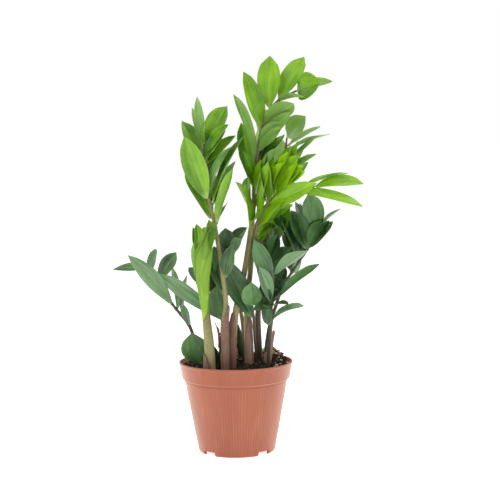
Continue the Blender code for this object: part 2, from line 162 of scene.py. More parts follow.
def crossing(corners, here, direction):
    """The segments where a mesh meets a plane, as an (n, 2, 3) array."""
    side = (corners - here) @ direction
    found = []
    for one, two in ((0, 1), (1, 2), (2, 0)):
        cut = (side[:, one] > 0) != (side[:, two] > 0)
        share = np.where(cut, side[:, one] / np.where(cut, side[:, one] - side[:, two], 1), 0)
        found.append((cut, corners[:, one] + share[:, None] * (corners[:, two] - corners[:, one])))
    cuts = np.array([cut for cut, _ in found])
    places = np.array([place for _, place in found])
    rows = np.nonzero(cuts.sum(0) == 2)[0]
    ends = [[places[k, row] for k in range(3) if cuts[k, row]] for row in rows]
    return np.array(ends).reshape(-1, 2, 3)


END_SLICE = 0.6 * MM  # how much of a piece's end counts as the end
CUT_STEP = 2.5 * MM
FIRST_CUT = 0.8 * MM
FOOT_REACH = 12 * MM
TIP_REACH = 9 * MM


def centreline(node):
    """(points, radii) along a tube of the frame, found by walking up it from its foot."""
    corners = corners_of(node)
    points = corners.reshape(-1, 3)
    low = points[points[:, 2] < points[:, 2].min() + END_SLICE]
    here, direction = low.mean(0), np.array([0.0, 0.0, 1.0])
    here = here + direction * FIRST_CUT
    centres, radii = [], []
    while True:
        ends = crossing(corners, here, direction)
        reach = 3 * radii[-1] if radii else FOOT_REACH
        middle = ends.mean(1)
        near = np.linalg.norm(middle - here, axis=1) < reach
        ends, middle = ends[near], middle[near]
        if len(ends) < 5:
            break
        weight = np.linalg.norm(ends[:, 0] - ends[:, 1], axis=1) + 1e-9
        centre = (middle * weight[:, None]).sum(0) / weight.sum()
        radius = (np.linalg.norm(middle - centre, axis=1) * weight).sum() / weight.sum()
        if centres:
            heading = centre - centres[-1]
            direction = direction + heading / np.linalg.norm(heading)
            direction = direction / np.linalg.norm(direction)
        centres.append(centre)
        radii.append(radius)
        here = centre + direction * CUT_STEP
    near = np.linalg.norm(points - centres[-1], axis=1) < TIP_REACH
    end = centres[-1] + direction * ((points @ direction)[near].max() - centres[-1] @ direction)
    return evened(np.array([*centres, end])), np.array([*radii, radii[-1] * 0.9])


def evened(line):
    """The line with its small steps smoothed away and its ends kept."""
    out = line.copy()
    for _ in range(3):
        out[1:-1] = (out[:-2] + 2 * out[1:-1] + out[2:]) / 4
    return out


class Stem:
    """A stem of the frame as a line with a radius, for growing pieces on."""

    def __init__(self, node):
        self.points, self.radii = centreline(node)

    def at_height(self, height):
        """(place, direction, radius) where the stem passes a height."""
        z = self.points[:, 2]
        row = int(np.clip(np.searchsorted(z, height), 1, len(z) - 1))
        share = np.clip((height - z[row - 1]) / max(z[row] - z[row - 1], 1e-6), 0, 1)
        place = self.points[row - 1] + share * (self.points[row] - self.points[row - 1])
        along = self.points[row] - self.points[row - 1]
        radius = self.radii[row - 1] + share * (self.radii[row] - self.radii[row - 1])
        return Vector(place), Vector(along).normalized(), float(radius)

    def down(self, lower):
        """This stem carried on down the one that it grows from."""
        below = lower.points[:, 2] < self.points[0, 2] - 1 * MM
        self.points = np.vstack([lower.points[below], self.points])
        self.radii = np.append(lower.radii[below], self.radii)
        return self


def blade_of(node, stem):
    """(base, tip, upper, width, arch) of a leaflet of the frame, from its mesh."""
    points = np.unique(np.round(corners_of(node).reshape(-1, 3), 6), axis=0)
    middle = points.mean(0)
    _, _, axes = np.linalg.svd(points - middle)
    along, normal = axes[0], axes[2]
    place = (points - middle) @ along
    ends = [points[place < place.min() + END_SLICE], points[place > place.max() - END_SLICE]]
    ends = [end.mean(0) for end in ends]
    ends.sort(key=lambda end: np.linalg.norm(stem.points - end, axis=1).min())
    base, tip = ends
    along = (tip - base) / np.linalg.norm(tip - base)
    normal = normal - along * (normal @ along)
    normal = normal / np.linalg.norm(normal)
    side = np.cross(along, normal)
    share = (points - base) @ along / np.linalg.norm(tip - base)
    across = (points - base) @ side
    lift = (points - base) @ normal
    centre = np.abs(across) < 0.15 * np.abs(across).max()
    edge = np.abs(across) > 0.85 * np.abs(across).max()
    waist = (share > 0.35) & (share < 0.65)
    ridge = lift[centre & waist].mean()
    if lift[edge].mean() < ridge:
        normal, ridge = -normal, -ridge
    return Vector(base), Vector(tip), Vector(normal), 2 * float(np.abs(across).max()), float(ridge)


# ---------- materials ----------


class Surface:
    """A node material under construction, on the Principled shader."""

    def __init__(self, name, **fixed):
        self.material = bpy.data.materials.new(name)
        self.material.use_nodes = True
        self.tree = self.material.node_tree
        self.shader = self.tree.nodes["Principled BSDF"]
        for socket, value in fixed.items():
            self.shader.inputs[socket.replace("_", " ")].default_value = value

    def node(self, kind, inputs=(), **settings):
        made = self.tree.nodes.new(kind)
        for name, value in settings.items():
            setattr(made, name, value)
        for key, value in dict(inputs).items():
            self.feed(made.inputs[key], value)
        return made

    def feed(self, socket, value):
        if isinstance(value, bpy.types.NodeSocket):
            self.tree.links.new(value, socket)
        else:
            socket.default_value = value

    def number(self, name):
        return self.node("ShaderNodeAttribute", attribute_name=name).outputs["Fac"]

    def sum(self, operation, *values):
        """One Math node; an empty place keeps its default."""
        made = self.node("ShaderNodeMath", operation=operation)
        for socket, value in zip(made.inputs, values):
            self.feed(socket, value)
        return made.outputs[0]

    def times(self, one, two):
        return self.sum("MULTIPLY", one, two)

    def plus(self, one, two):
        return self.sum("ADD", one, two)

    def swing(self, value, amount):
        """How far the value is from one half, times the amount."""
        return self.times(self.sum("SUBTRACT", value, 0.5), amount)

    def mix(self, share, low, high):
        made = self.node("ShaderNodeMix", data_type="RGBA", blend_type="MIX")
        self.feed(made.inputs[0], share)
        self.feed(made.inputs[6], low)
        self.feed(made.inputs[7], high)
        return made.outputs[2]

    def span(self, value, low, high, to_low=0.0, to_high=1.0):
        """The value moved smoothly from one range to another, kept inside it."""
        made = self.node("ShaderNodeMapRange", interpolation_type="SMOOTHSTEP")
        for socket, item in zip(made.inputs, (value, low, high, to_low, to_high)):
            self.feed(socket, item)
        return made.outputs[0]

    def ramp(self, share, *stops):
        """Colours along 0..1, each stop a place and an 8-bit colour."""
        made = self.node("ShaderNodeValToRGB")
        self.feed(made.inputs[0], share)
        elements = made.color_ramp.elements
        while len(elements) < len(stops):
            elements.new(0.5)
        for element, (place, colour) in zip(elements, stops):
            element.position = place
            element.color = srgb(*colour)
        return made.outputs[0]

    def noise(self, scale, detail=3.0, vector=None, roughness=0.5, distortion=0.0):
        made = self.node(
            "ShaderNodeTexNoise",
            {"Scale": scale, "Detail": detail, "Roughness": roughness, "Distortion": distortion},
        )
        self.feed(made.inputs["Vector"], vector or self.places())
        return made.outputs[0]

    def places(self):
        return self.node("ShaderNodeTexCoord").outputs["Object"]

    def stretched(self, x, y, z):
        scale = self.node("ShaderNodeVectorMath", operation="MULTIPLY")
        self.feed(scale.inputs[0], self.places())
        scale.inputs[1].default_value = (x, y, z)
        return scale.outputs[0]

    def join(self, x, y, z=0.0):
        made = self.node("ShaderNodeCombineXYZ")
        for socket, value in zip(made.inputs, (x, y, z)):
            self.feed(socket, value)
        return made.outputs[0]

    def split(self, vector):
        return self.node("ShaderNodeSeparateXYZ", {"Vector": vector}).outputs

    def bump(self, height, strength, distance):
        made = self.node("ShaderNodeBump", {"Strength": strength, "Distance": distance, "Height": height})
        self.feed(self.shader.inputs["Normal"], made.outputs[0])

    def finish(self, colour, roughness=None):
        self.feed(self.shader.inputs["Base Color"], colour)
        if roughness is not None:
            self.feed(self.shader.inputs["Roughness"], roughness)
        return self.material


def leaf_surface(name, colours, gloss, mottle):
    """A waxy blade: it reads along 0..1, across -1..1, under 0..1, tone 0..1, pale 0..1 and crease 0..1.

    One tone a leaflet, as it also places the blade's mottling. Pale is painted sheen that washes the upper
    face toward the underside colour, and crease is painted shade that darkens the folds and edges of the
    furled leaf; one half of each blade also gets painted shade against the other.
    """
    deep, light, under, rib, edge = (srgb(*colour) for colour in colours)
    made = Surface(name, Subsurface_Weight=0.08, Subsurface_Scale=0.002, Specular_IOR_Level=0.34)
    made.shader.inputs["Subsurface Radius"].default_value = (0.6, 1.0, 0.2)
    along, across = made.number("along"), made.number("across")
    below, tone, pale = made.number("under"), made.number("tone"), made.number("pale")
    out = made.sum("ABSOLUTE", across)
    seed = made.times(tone, 37.0)
    grain = made.join(made.times(along, 2.2), made.times(across, 3.6), seed)
    streaks = made.noise(1.0, 4, grain)
    clouds = made.noise(55.0, 3)
    slant = made.sum("SUBTRACT", along, made.times(made.sum("POWER", out, 1.4), 0.17))
    waves = made.sum("SINE", made.times(slant, 2 * math.pi * 11))
    veins = made.times(made.span(waves, 0.5, 1.0), made.span(out, 0.02, 0.2))
    # Painted shade: one half of the blade lighter than the other, by a random phase, as light falls on a
    # folded leaf.
    painted_half_shade = made.sum("SINE", made.plus(seed, made.span(across, -0.08, 0.08, -1.3, 1.3)))
    shade = made.plus(tone, made.swing(streaks, 0.9 * mottle))
    shade = made.plus(shade, made.swing(clouds, 0.8 * mottle))
    shade = made.plus(shade, made.times(veins, 0.07))
    shade = made.plus(shade, made.times(painted_half_shade, 0.16))
    # Painted shade in the furled leaf's folds and along its leaflets' edges.
    shade = made.sum("SUBTRACT", shade, made.number("crease"))
    colour = made.mix(shade, deep, light)
    # Painted sheen: the upper face washed toward the underside colour by the pale number.
    painted_sheen = made.times(pale, made.span(streaks, 0.3, 0.65, 0.45, 1.0))
    colour = made.mix(painted_sheen, colour, under)
    foot = made.span(along, 0.02, 0.14, 0.5, 0.0)
    colour = made.mix(foot, colour, rib)
    narrow = made.span(out, 0.008, 0.05, 0.34, 0.0)
    midrib = made.times(narrow, made.span(along, 0.5, 1.0, 1.0, 0.2))
    colour = made.mix(midrib, colour, rib)
    colour = made.mix(made.span(out, 0.93, 0.99, 0.0, 0.3), colour, edge)
    back = made.mix(made.span(streaks, 0.3, 0.7, 0.25, 0.6), under, light)
    back = made.mix(made.times(made.sum("SUBTRACT", 1.0, tone), 0.45), back, deep)
    back = made.mix(made.span(out, 0.015, 0.07, 0.7, 0.0), back, rib)
    colour = made.mix(made.span(below, 0.4, 0.6), colour, back)
    rough = made.span(clouds, 0.3, 0.7, gloss, gloss + 0.12)
    rough = made.plus(rough, made.times(below, 0.15))
    relief = made.plus(made.times(veins, 0.5), made.times(streaks, 0.8))
    made.bump(relief, 0.3, 0.3 * MM)
    return made.finish(colour, rough)


def stem_surface(name, *stops):
    """A fleshy stem, coloured along its height, with fine lengthwise lines and darker flecks."""
    made = Surface(name, Subsurface_Weight=0.06, Subsurface_Scale=0.002)
    along, tone = made.number("along"), made.number("tone")
    lines = made.noise(1.0, 3, made.stretched(900, 900, 45))
    flecks = made.noise(1.0, 2, made.stretched(260, 260, 620), distortion=0.4)
    place = made.plus(along, made.swing(flecks, 0.2))
    colour = made.ramp(place, *stops)
    colour = made.mix(made.span(flecks, 0.52, 0.7, 0.0, 0.4), colour, srgb(92, 84, 48))
    colour = made.mix(made.span(lines, 0.35, 0.7, 0.28, 0.0), colour, srgb(70, 66, 38))
    colour = made.mix(made.times(tone, 0.8), colour, srgb(104, 84, 60))
    made.bump(made.plus(lines, flecks), 0.35, 0.25 * MM)
    return made.finish(colour, made.span(flecks, 0.3, 0.7, 0.42, 0.62))


def sheath_surface():
    """Dry papery skin with fibres along it and dark worn edges."""
    made = Surface("papery_sheath", Subsurface_Weight=0.1, Subsurface_Scale=0.001)
    along, out = made.number("along"), made.sum("ABSOLUTE", made.number("across"))
    grain = made.join(made.times(made.number("across"), 16.0), made.times(along, 1.5))
    fibre = made.noise(1.0, 5, grain)
    blotch = made.noise(120.0, 4)
    colour = made.ramp(fibre, (0.28, (80, 57, 46)), (0.5, (130, 100, 83)), (0.72, (172, 144, 119)))
    colour = made.mix(made.span(blotch, 0.45, 0.7, 0.0, 0.45), colour, srgb(116, 84, 66))
    colour = made.mix(made.span(along, 0.0, 0.3, 0.45, 0.0), colour, srgb(74, 52, 38))
    colour = made.mix(made.times(made.number("tone"), 0.85), colour, srgb(150, 70, 40))
    colour = made.mix(made.span(out, 0.82, 1.0, 0.0, 0.5), colour, srgb(84, 58, 44))
    made.bump(fibre, 0.7, 0.35 * MM)
    return made.finish(colour, made.span(blotch, 0.3, 0.7, 0.62, 0.85))


def pot_surface():
    """Moulded terracotta-coloured plastic: mottled and scuffed pale, with painted sheen on the rib crests.
    """
    made = Surface("terracotta_plastic", Subsurface_Weight=0.05, Subsurface_Scale=0.003)
    made.shader.inputs["Sheen Weight"].default_value = 0.75
    made.shader.inputs["Sheen Roughness"].default_value = 0.4
    made.shader.inputs["Sheen Tint"].default_value = srgb(244, 226, 206)
    grain = made.noise(900.0, 3)
    mottle = made.noise(28.0, 4, made.stretched(1, 1, 0.45))
    smear = made.noise(1.0, 4, made.stretched(150, 150, 9))
    x, y, z = made.split(made.places())
    # Painted sheen: the rib crests paler, patchy with the smear, which lightens the body's sides at grazing
    # angles.
    painted_crest_sheen = made.sum("COSINE", made.times(made.sum("ARCTAN2", y, x), RIBS))
    ribbed = made.span(z, RIBS_TO - 2 * MM, RIBS_TO, 1.0, 0.0)
    painted_crest_sheen = made.times(made.span(painted_crest_sheen, 0.1, 0.9), ribbed)
    colour = made.mix(made.span(mottle, 0.3, 0.72), srgb(149, 72, 43), srgb(163, 87, 57))
    painted_crest_sheen = made.times(painted_crest_sheen, made.span(smear, 0.3, 0.7, 0.05, 0.24))
    colour = made.mix(painted_crest_sheen, colour, srgb(190, 134, 110))
    colour = made.mix(made.span(smear, 0.55, 0.8, 0.0, 0.2), colour, srgb(190, 124, 102))
    colour = made.mix(made.span(grain, 0.62, 0.8, 0.0, 0.12), colour, srgb(200, 148, 128))
    made.bump(made.plus(grain, made.times(smear, 0.5)), 0.12, 0.1 * MM)
    return made.finish(colour, made.span(mottle, 0.3, 0.7, 0.4, 0.52))


def soil_surface(name, *stops):
    """Moist crumbly soil: the colours go by each crumb's tone, or by noise where it has none."""
    made = Surface(name, Specular_IOR_Level=0.25)
    coarse = made.noise(420.0, 6, roughness=0.65)
    fine = made.noise(1600.0, 4)
    place = made.plus(made.number("tone"), made.swing(coarse, 0.45))
    colour = made.ramp(place, *stops)
    colour = made.mix(made.span(fine, 0.35, 0.7, 0.3, 0.0), colour, srgb(22, 14, 10))
    made.bump(made.plus(coarse, fine), 0.9, 0.8 * MM)
    return made.finish(colour, made.span(coarse, 0.3, 0.7, 0.75, 0.95))


# The colours of each kind of leaf (deep, light, under, rib and edge), its gloss and its mottling.
LEAF_LOOKS = {
    "bright_leaf": (
        ((34, 92, 0), (142, 191, 20), (138, 172, 106), (176, 206, 104), (104, 130, 56)), 0.36, 1.0,
    ),
    "dark_leaf": (
        ((18, 48, 20), (98, 144, 78), (150, 176, 142), (128, 162, 106), (72, 88, 56)), 0.36, 1.0,
    ),
    "young_leaf": (
        ((44, 92, 0), (139, 183, 44), (150, 182, 84), (168, 200, 90), (96, 130, 36)), 0.4, 0.4,
    ),
}
# The colours of each kind of stem, from its foot at 0 to its end at 1.
STEM_LOOKS = {
    "green_stem": ((0, (160, 132, 98)), (0.22, (164, 154, 104)), (0.6, (146, 144, 88)), (1, (104, 104, 52))),
    "brown_stem": ((0, (62, 52, 38)), (0.4, (68, 60, 44)), (0.8, (82, 78, 54)), (1, (94, 98, 60))),
}
LEAF_SURFACES = {name: leaf_surface(name, *looks) for name, looks in LEAF_LOOKS.items()}
STEM_SURFACES = {name: stem_surface(name, *stops) for name, stops in STEM_LOOKS.items()}
SHEATH = sheath_surface()
SOIL = soil_surface("potting_soil", (0.1, (30, 19, 14)), (0.5, (60, 40, 30)), (0.9, (92, 66, 48)))
CRUMBS = soil_surface(
    "soil_crumbs", (0.05, (34, 22, 16)), (0.4, (66, 44, 32)), (0.7, (142, 112, 82)), (0.95, (232, 216, 186)),
)


# ---------- leaflets ----------

BLADE_STEPS = 26
ACROSS = [1, 0.97, 0.88, 0.75, 0.58, 0.4, 0.22, 0.09, 0, -0.09, -0.22, -0.4, -0.58, -0.75, -0.88, -0.97, -1]
RING = [(v, 1) for v in ACROSS] + [(v, -1) for v in ACROSS[-2:0:-1]]
STALK_RADIUS = 0.95 * MM
STALK_LENGTH = 0.8 * MM
STALK_SHARE = 0.16  # of the blade, over which the round stalk spreads into it
BLADE_THICKNESS = 0.28 * MM
TIP_HALF_WIDTH = 0.22 * MM
TIP_TAPER = 4.2
CREASE_ROUNDING = 0.9 * MM
RIB_DEPTH = 0.45 * MM
RIB_GROOVE = 0.16 * MM
RIB_REACH = 0.8 * MM
WIDEN = 1.05  # the solid blades of the frame are cut a little narrow at their edges


def blade_shape(share, fullness, widest):
    """The outline's half-width along the blade, from 0 to 1."""
    body = math.sin(math.pi * share**widest) ** fullness if 0 < share < 1 else 0
    return min(body, TIP_TAPER * (1 - share))


def leaflet(name, slot, start, base, tip, upper, width, arch, tone, pale, *replaced):
    """One leaflet: a short round stalk from inside the stem, and a cupped blade with a raised rib below."""
    chord = tip - base
    length = chord.length
    axis = chord.normalized()
    upper = (upper - axis * upper.dot(axis)).normalized()
    side = axis.cross(upper)
    draw = random.Random(name)
    fold = draw.uniform(0.2, 0.42)
    sway = draw.uniform(-0.03, 0.03) * length
    twist = draw.uniform(-0.22, 0.22)
    wave, phase = draw.uniform(0.2, 0.7) * MM, draw.uniform(0, math.tau)
    widest = draw.uniform(0.98, 1.2)
    fullness = draw.uniform(0.62, 0.74)
    curl = draw.uniform(-0.05, 0.12)

    def spine(share):
        rise = math.sin(math.pi * min(max(share, 0), 1) ** 0.9)
        return base + chord * share + upper * arch * rise + side * sway * rise

    rings, along, across, under = [], [], [], []
    shares = [0.5 - 0.5 * math.cos(math.pi * step / BLADE_STEPS) for step in range(BLADE_STEPS + 1)]
    for row, share in enumerate([-1, *shares]):
        if row == 0:
            centre, heading, share = start, base - start, 0.0
        else:
            centre, heading = spine(share), spine(share + 0.01) - spine(share - 0.01)
        heading = heading.normalized() if heading.length > 1e-7 else axis
        turn = Matrix.Rotation(twist * (share - 0.3), 3, heading)
        out = turn @ (side - heading * side.dot(heading)).normalized()
        up = out.cross(heading)
        grown = smooth_step(share / STALK_SHARE)
        half = STALK_RADIUS * (1 - grown) + TIP_HALF_WIDTH * grown
        half += (WIDEN * width / 2 - half) * blade_shape(share, fullness, widest)
        thick = STALK_RADIUS * 0.9 * (1 - grown) + BLADE_THICKNESS * grown * (1 - 0.4 * share)
        ring = []
        for v, face in RING:
            x = half * v
            lift = fold * grown * (math.hypot(x, CREASE_ROUNDING) - CREASE_ROUNDING)
            lift += curl * half * grown * v * v
            lift += wave * grown * v * abs(v) * math.sin(math.tau * 1.4 * share + phase)
            lift += face * thick * (1 - v * v) ** 0.4
            near = math.exp(-((x / RIB_REACH) ** 2)) * grown
            lift -= near * (RIB_DEPTH * (1 - 0.8 * share) if face < 0 else RIB_GROOVE)
            ring.append(centre + out * x + up * lift)
            along.append(share)
            across.append(v)
            under.append(0.5 - 0.5 * face * (abs(v) < 1))
        rings.append(np.array(ring))
    mesh = loft(name, rings)
    point_values(mesh, along=along, across=across, under=under, tone=tone, pale=pale)
    return new_object(name, mesh, LEAF_SURFACES[slot], slot, *replaced)


# ---------- stems, sheaths and the young shoot ----------

STEM_SIDES = 20
STEM_STEP = 1.2 * MM
FACETED = 1.07  # from the mean radius of the frame's eight-sided tubes to their corners
JOINT_SWELLING, JOINT_REACH = 0.35 * MM, 1.6 * MM
END_ROUNDING = 1.5 * MM
INTO_SPEAR = 9 * MM


def swept(points, radii, sides, shape=None):
    """Rings round a line, with no twist from one to the next. shape(angle, share) scales the radius."""
    rings = []
    across = None
    for row, (centre, radius) in enumerate(zip(points, radii)):
        low, high = max(row - 1, 0), min(row + 1, len(points) - 1)
        heading = Vector(points[high] - points[low]).normalized()
        across = across or Vector((1, 0, 0))
        across = (across - heading * across.dot(heading)).normalized()
        other = heading.cross(across)
        share = row / (len(points) - 1)
        ring = []
        for step in range(sides):
            angle = math.tau * step / sides
            reach = radius * (shape(angle, share) if shape else 1)
            ring.append(Vector(centre) + (across * math.cos(angle) + other * math.sin(angle)) * reach)
        rings.append(np.array(ring))
    return rings


def resampled(line, values, step):
    """The line and its values at even steps along it."""
    gaps = np.linalg.norm(np.diff(line, axis=0), axis=1)
    along = np.concatenate([[0], np.cumsum(gaps)])
    at = np.linspace(0, along[-1], max(int(along[-1] / step), 4))
    places = np.array([np.interp(at, along, line[:, k]) for k in range(3)]).T
    return places, np.interp(at, along, values), at


def build_stem(node, stem, joints):
    """The stem with small swellings where its leaflets join and a rounded end."""
    line, reach = stem.points, stem.radii * FACETED
    if node == "young_shoot_petiole":
        # It is a little thicker, and runs on inside the furled leaf.
        last = line[-1] - line[-2]
        end = line[-1] + last / np.linalg.norm(last) * INTO_SPEAR
        line, reach = np.vstack([line, end]), np.append(reach * 1.06, reach[-1] * 0.6)
    points, radii, at = resampled(line, reach, STEM_STEP)
    for joint in joints:
        gap = np.linalg.norm(points - np.array(joint), axis=1)
        nearest = at[gap.argmin()]
        radii = radii + JOINT_SWELLING * np.exp(-(((at - nearest) / JOINT_REACH) ** 2))
    close = np.clip((at[-1] - at) / END_ROUNDING, 0.02, 1)
    radii = radii * np.sqrt(1 - (1 - close) ** 2)
    draw = random.Random(node)
    waves = [(draw.randint(2, 5), draw.uniform(0, math.tau), draw.uniform(2, 6)) for _ in range(3)]

    def shape(angle, share):
        return 1 + sum(0.012 * math.sin(k * angle + phase + turns * share) for k, phase, turns in waves)

    rings = swept(points, radii, STEM_SIDES, shape)
    mesh = loft(node, rings)
    height = np.repeat((points[:, 2] - SOIL_LEVEL) / (points[-1, 2] - SOIL_LEVEL), STEM_SIDES)
    tone = STEM_TONE.get(node, (0, 0))
    point_values(mesh, along=height, tone=tone[0] + (tone[1] - tone[0]) * height)
    slot = SLOT[node]
    return new_object(f"{node}_grown", mesh, STEM_SURFACES[slot], slot, node)


SHEATH_ROWS = 34
SHEATH_HALF_STEPS = 14
SHEATH_HALF_THICKNESS = 0.2 * MM
SHEATH_BULGE = 0.9 * MM


def build_sheath(node, stem, tone, ragged):
    """A papery scale wrapped round the foot of a stem, drawn in to a worn tip that stands off."""
    points = corners_of(node).reshape(-1, 3)
    low, high = points[:, 2].min(), points[:, 2].max()
    flat = np.array([p - np.array(stem.at_height(p[2])[0]) for p in points])[:, :2]
    middle = math.atan2(*flat.mean(0)[::-1])
    bearing = np.array([math.remainder(math.atan2(y, x) - middle, math.tau) for x, y in flat])
    reach = np.linalg.norm(flat, axis=1)
    height = (points[:, 2] - low) / (high - low)
    widest = np.abs(bearing[height < 0.15]).max()
    levels = np.linspace(0, 1, 6)
    spans = [np.median(reach[np.abs(height - level) < 0.12]) for level in levels]
    seed = random.Random(node).uniform(0, 40)
    rings, along, across = [], [], []
    for share in np.linspace(0, 1, SHEATH_ROWS):
        spread = widest * (0.04 + 0.96 * (1 - share) ** 0.55)
        radius = np.interp(share, levels, spans) + 0.2 * MM * math.sin(7 * share + seed)
        radius += SHEATH_BULGE * math.sin(math.pi * share) ** 2
        centre, _, _ = stem.at_height(low + share * (high - low))
        skins = {1: [], -1: []}
        for step in range(-SHEATH_HALF_STEPS, SHEATH_HALF_STEPS + 1):
            v = step / SHEATH_HALF_STEPS
            worn = 1 + ragged * noise.noise(Vector((9 * share, 3 * math.copysign(1, v), seed))) * v * v
            angle = middle + v * spread * worn
            pleat = 0.22 * MM * math.sin(9 * angle + 4 * share + seed) + 0.7 * MM * v**4 * (0.3 + share)
            outward = around(angle)
            for face, skin in skins.items():
                skin.append(centre + outward * (radius + pleat + face * SHEATH_HALF_THICKNESS))
            across.append(v)
        rings.append(np.array(skins[1] + skins[-1][::-1]))
        across += across[-1 : -2 * SHEATH_HALF_STEPS - 2 : -1]
        along += [share] * len(rings[-1])
    mesh = loft(node, rings)
    point_values(mesh, along=along, across=across, tone=tone)
    return new_object(f"{node}_skin", mesh, SHEATH, "papery_sheath", node)


SPEAR_STEP = 1.0 * MM
SPEAR_SIDES = 64
SPEAR_FOOT = 0.6 * MM


def build_spear(node, stem):
    """The furled young leaf: leaflets still rolled round each other in a twisted bundle."""
    points, radii, _ = resampled(stem.points, stem.radii, SPEAR_STEP)

    def fold(angle, share):
        return 0.5 + 0.5 * math.cos(3 * angle + 3.5 * share)

    def shape(angle, share):
        return 0.78 + 0.22 * fold(angle, share) ** 0.4

    low_down = np.linspace(1, 0, len(points)) ** 2
    rings = swept(points, radii * 0.98 + SPEAR_FOOT * low_down, SPEAR_SIDES, shape)
    mesh = loft(node, rings)
    share = np.repeat(np.linspace(0, 1, len(points)), SPEAR_SIDES)
    angle = np.tile(np.linspace(0, math.tau, SPEAR_SIDES, endpoint=False), len(points))
    crease = np.array([fold(a, t) for a, t in zip(angle, share)])
    # Crease is painted shade, darkest in the folds between the rolled leaflets; pale is painted sheen.
    point_values(
        mesh, along=0.2 + 0.6 * share, across=0.9 - 0.7 * crease, under=0.0, tone=0.55, pale=0.1,
        crease=0.4 - 0.4 * crease**0.5,
    )
    return new_object(f"{node}_bundle", mesh, LEAF_SURFACES["young_leaf"], "young_leaf", node)


# Leaflets pressed along the furled leaf: heights of foot and tip in millimetres, azimuth in degrees,
# width in millimetres, how far the tip stands off, and tone.
FURLED = (
    (141, 226, -128, 20, 0.6, 0.6), (146, 216, 150, 16, 0.8, 0.5), (152, 222, 40, 16, 0.8, 0.45),
    (143, 236, -98, 22, 0.8, 0.66), (163, 232, -24, 18, 1.4, 0.56), (176, 236, -168, 15, 2.4, 0.6),
    (188, 238, 90, 13, 2.0, 0.42), (196, 242, -132, 12, 3.2, 0.6), (202, 240, -50, 12, 2.4, 0.45),
)


FURLED_STEPS = 26
FURLED_TWIST = 1.1
FURLED_SWELL, SWELL_HEIGHT, SWELL_REACH = 1.5 * MM, 207 * MM, 20 * MM


def build_furled(stem, number, row):
    """One young leaflet that still hugs the bundle, one edge lifted a little over the next."""
    foot, tip, azimuth, width, stand_off, tone = row
    middle = math.radians(azimuth)
    rings, along, across = [], [], []
    for step in range(FURLED_STEPS + 1):
        share = step / FURLED_STEPS
        centre, _, radius = stem.at_height((foot + (tip - foot) * share) * MM)
        swell = FURLED_SWELL * math.exp(-(((centre.z - SWELL_HEIGHT) / SWELL_REACH) ** 2))
        shell = radius + (0.3 + 0.14 * number) * MM + stand_off * MM * share**3 + swell
        half = 0.3 * MM + (width / 2 - 0.3) * MM * blade_shape(min(share, 0.995), 0.8, 1.0)
        ring = []
        for v, face in RING:
            angle = middle + FURLED_TWIST * (share - 0.5) + v * half / max(shell, 4 * MM)
            edge = 0.25 * MM * v**4
            out = shell + face * 0.22 * MM * (1 - v * v) ** 0.4 + edge
            ring.append(centre + around(angle) * out)
            along.append(share)
            across.append(v)
        rings.append(np.array(ring))
    name = f"young_shoot_fold_{number}"
    mesh = loft(name, rings)
    # Painted shade along the leaflet's edges, where each tucks against the next; pale is painted sheen.
    crease = 0.35 * np.abs(across) ** 8
    point_values(mesh, along=along, across=across, under=0.15, tone=tone, pale=0.12, crease=crease)
    return new_object(name, mesh, LEAF_SURFACES["young_leaf"], "young_leaf")


# ---------- pot ----------

POT_STEPS = 400
RIBS = 100
RIB_HEIGHT = 0.2 * MM
RIBS_FROM = 7 * MM
BAND_FOOT = (RIM - 3.5 * MM, POT_TOP - 17.5 * MM)
SHOULDER = (RIM - 6 * MM, POT_TOP - 18.2 * MM)
RIBS_TO = SHOULDER[1] - 4 * MM
FOOT = 40.5 * MM
FOOT_RING = 3.2 * MM
WALL = 1.4 * MM
CHANNEL = 4.8 * MM
WELL = 22 * MM
FLOOR = 1.8 * MM
NOTCHES, NOTCH_WIDTH, NOTCH_HEIGHT = 4, 16 * MM, 4.5 * MM
DRAINS, DRAIN_RADIUS = 8, 3 * MM


def rounded(corners, steps=5):
    """An outline with each inner corner rounded by its own radius: (radius, height, rounding) in metres."""
    line = []
    for row, (x, z, rounding) in enumerate(corners):
        here = Vector((x, z))
        if not rounding or row in (0, len(corners) - 1):
            line.append(here)
            continue
        before = Vector(corners[row - 1][:2]) - here
        after = Vector(corners[row + 1][:2]) - here
        start = here + before.normalized() * min(rounding, before.length * 0.45)
        end = here + after.normalized() * min(rounding, after.length * 0.45)
        for step in range(steps + 1):
            t = step / steps
            line.append(start * (1 - t) ** 2 + here * 2 * t * (1 - t) + end * t * t)
    return line


def body_radius(height):
    return FOOT + (height - 2 * MM) / (SHOULDER[1] - 2 * MM) * (SHOULDER[0] - FOOT)


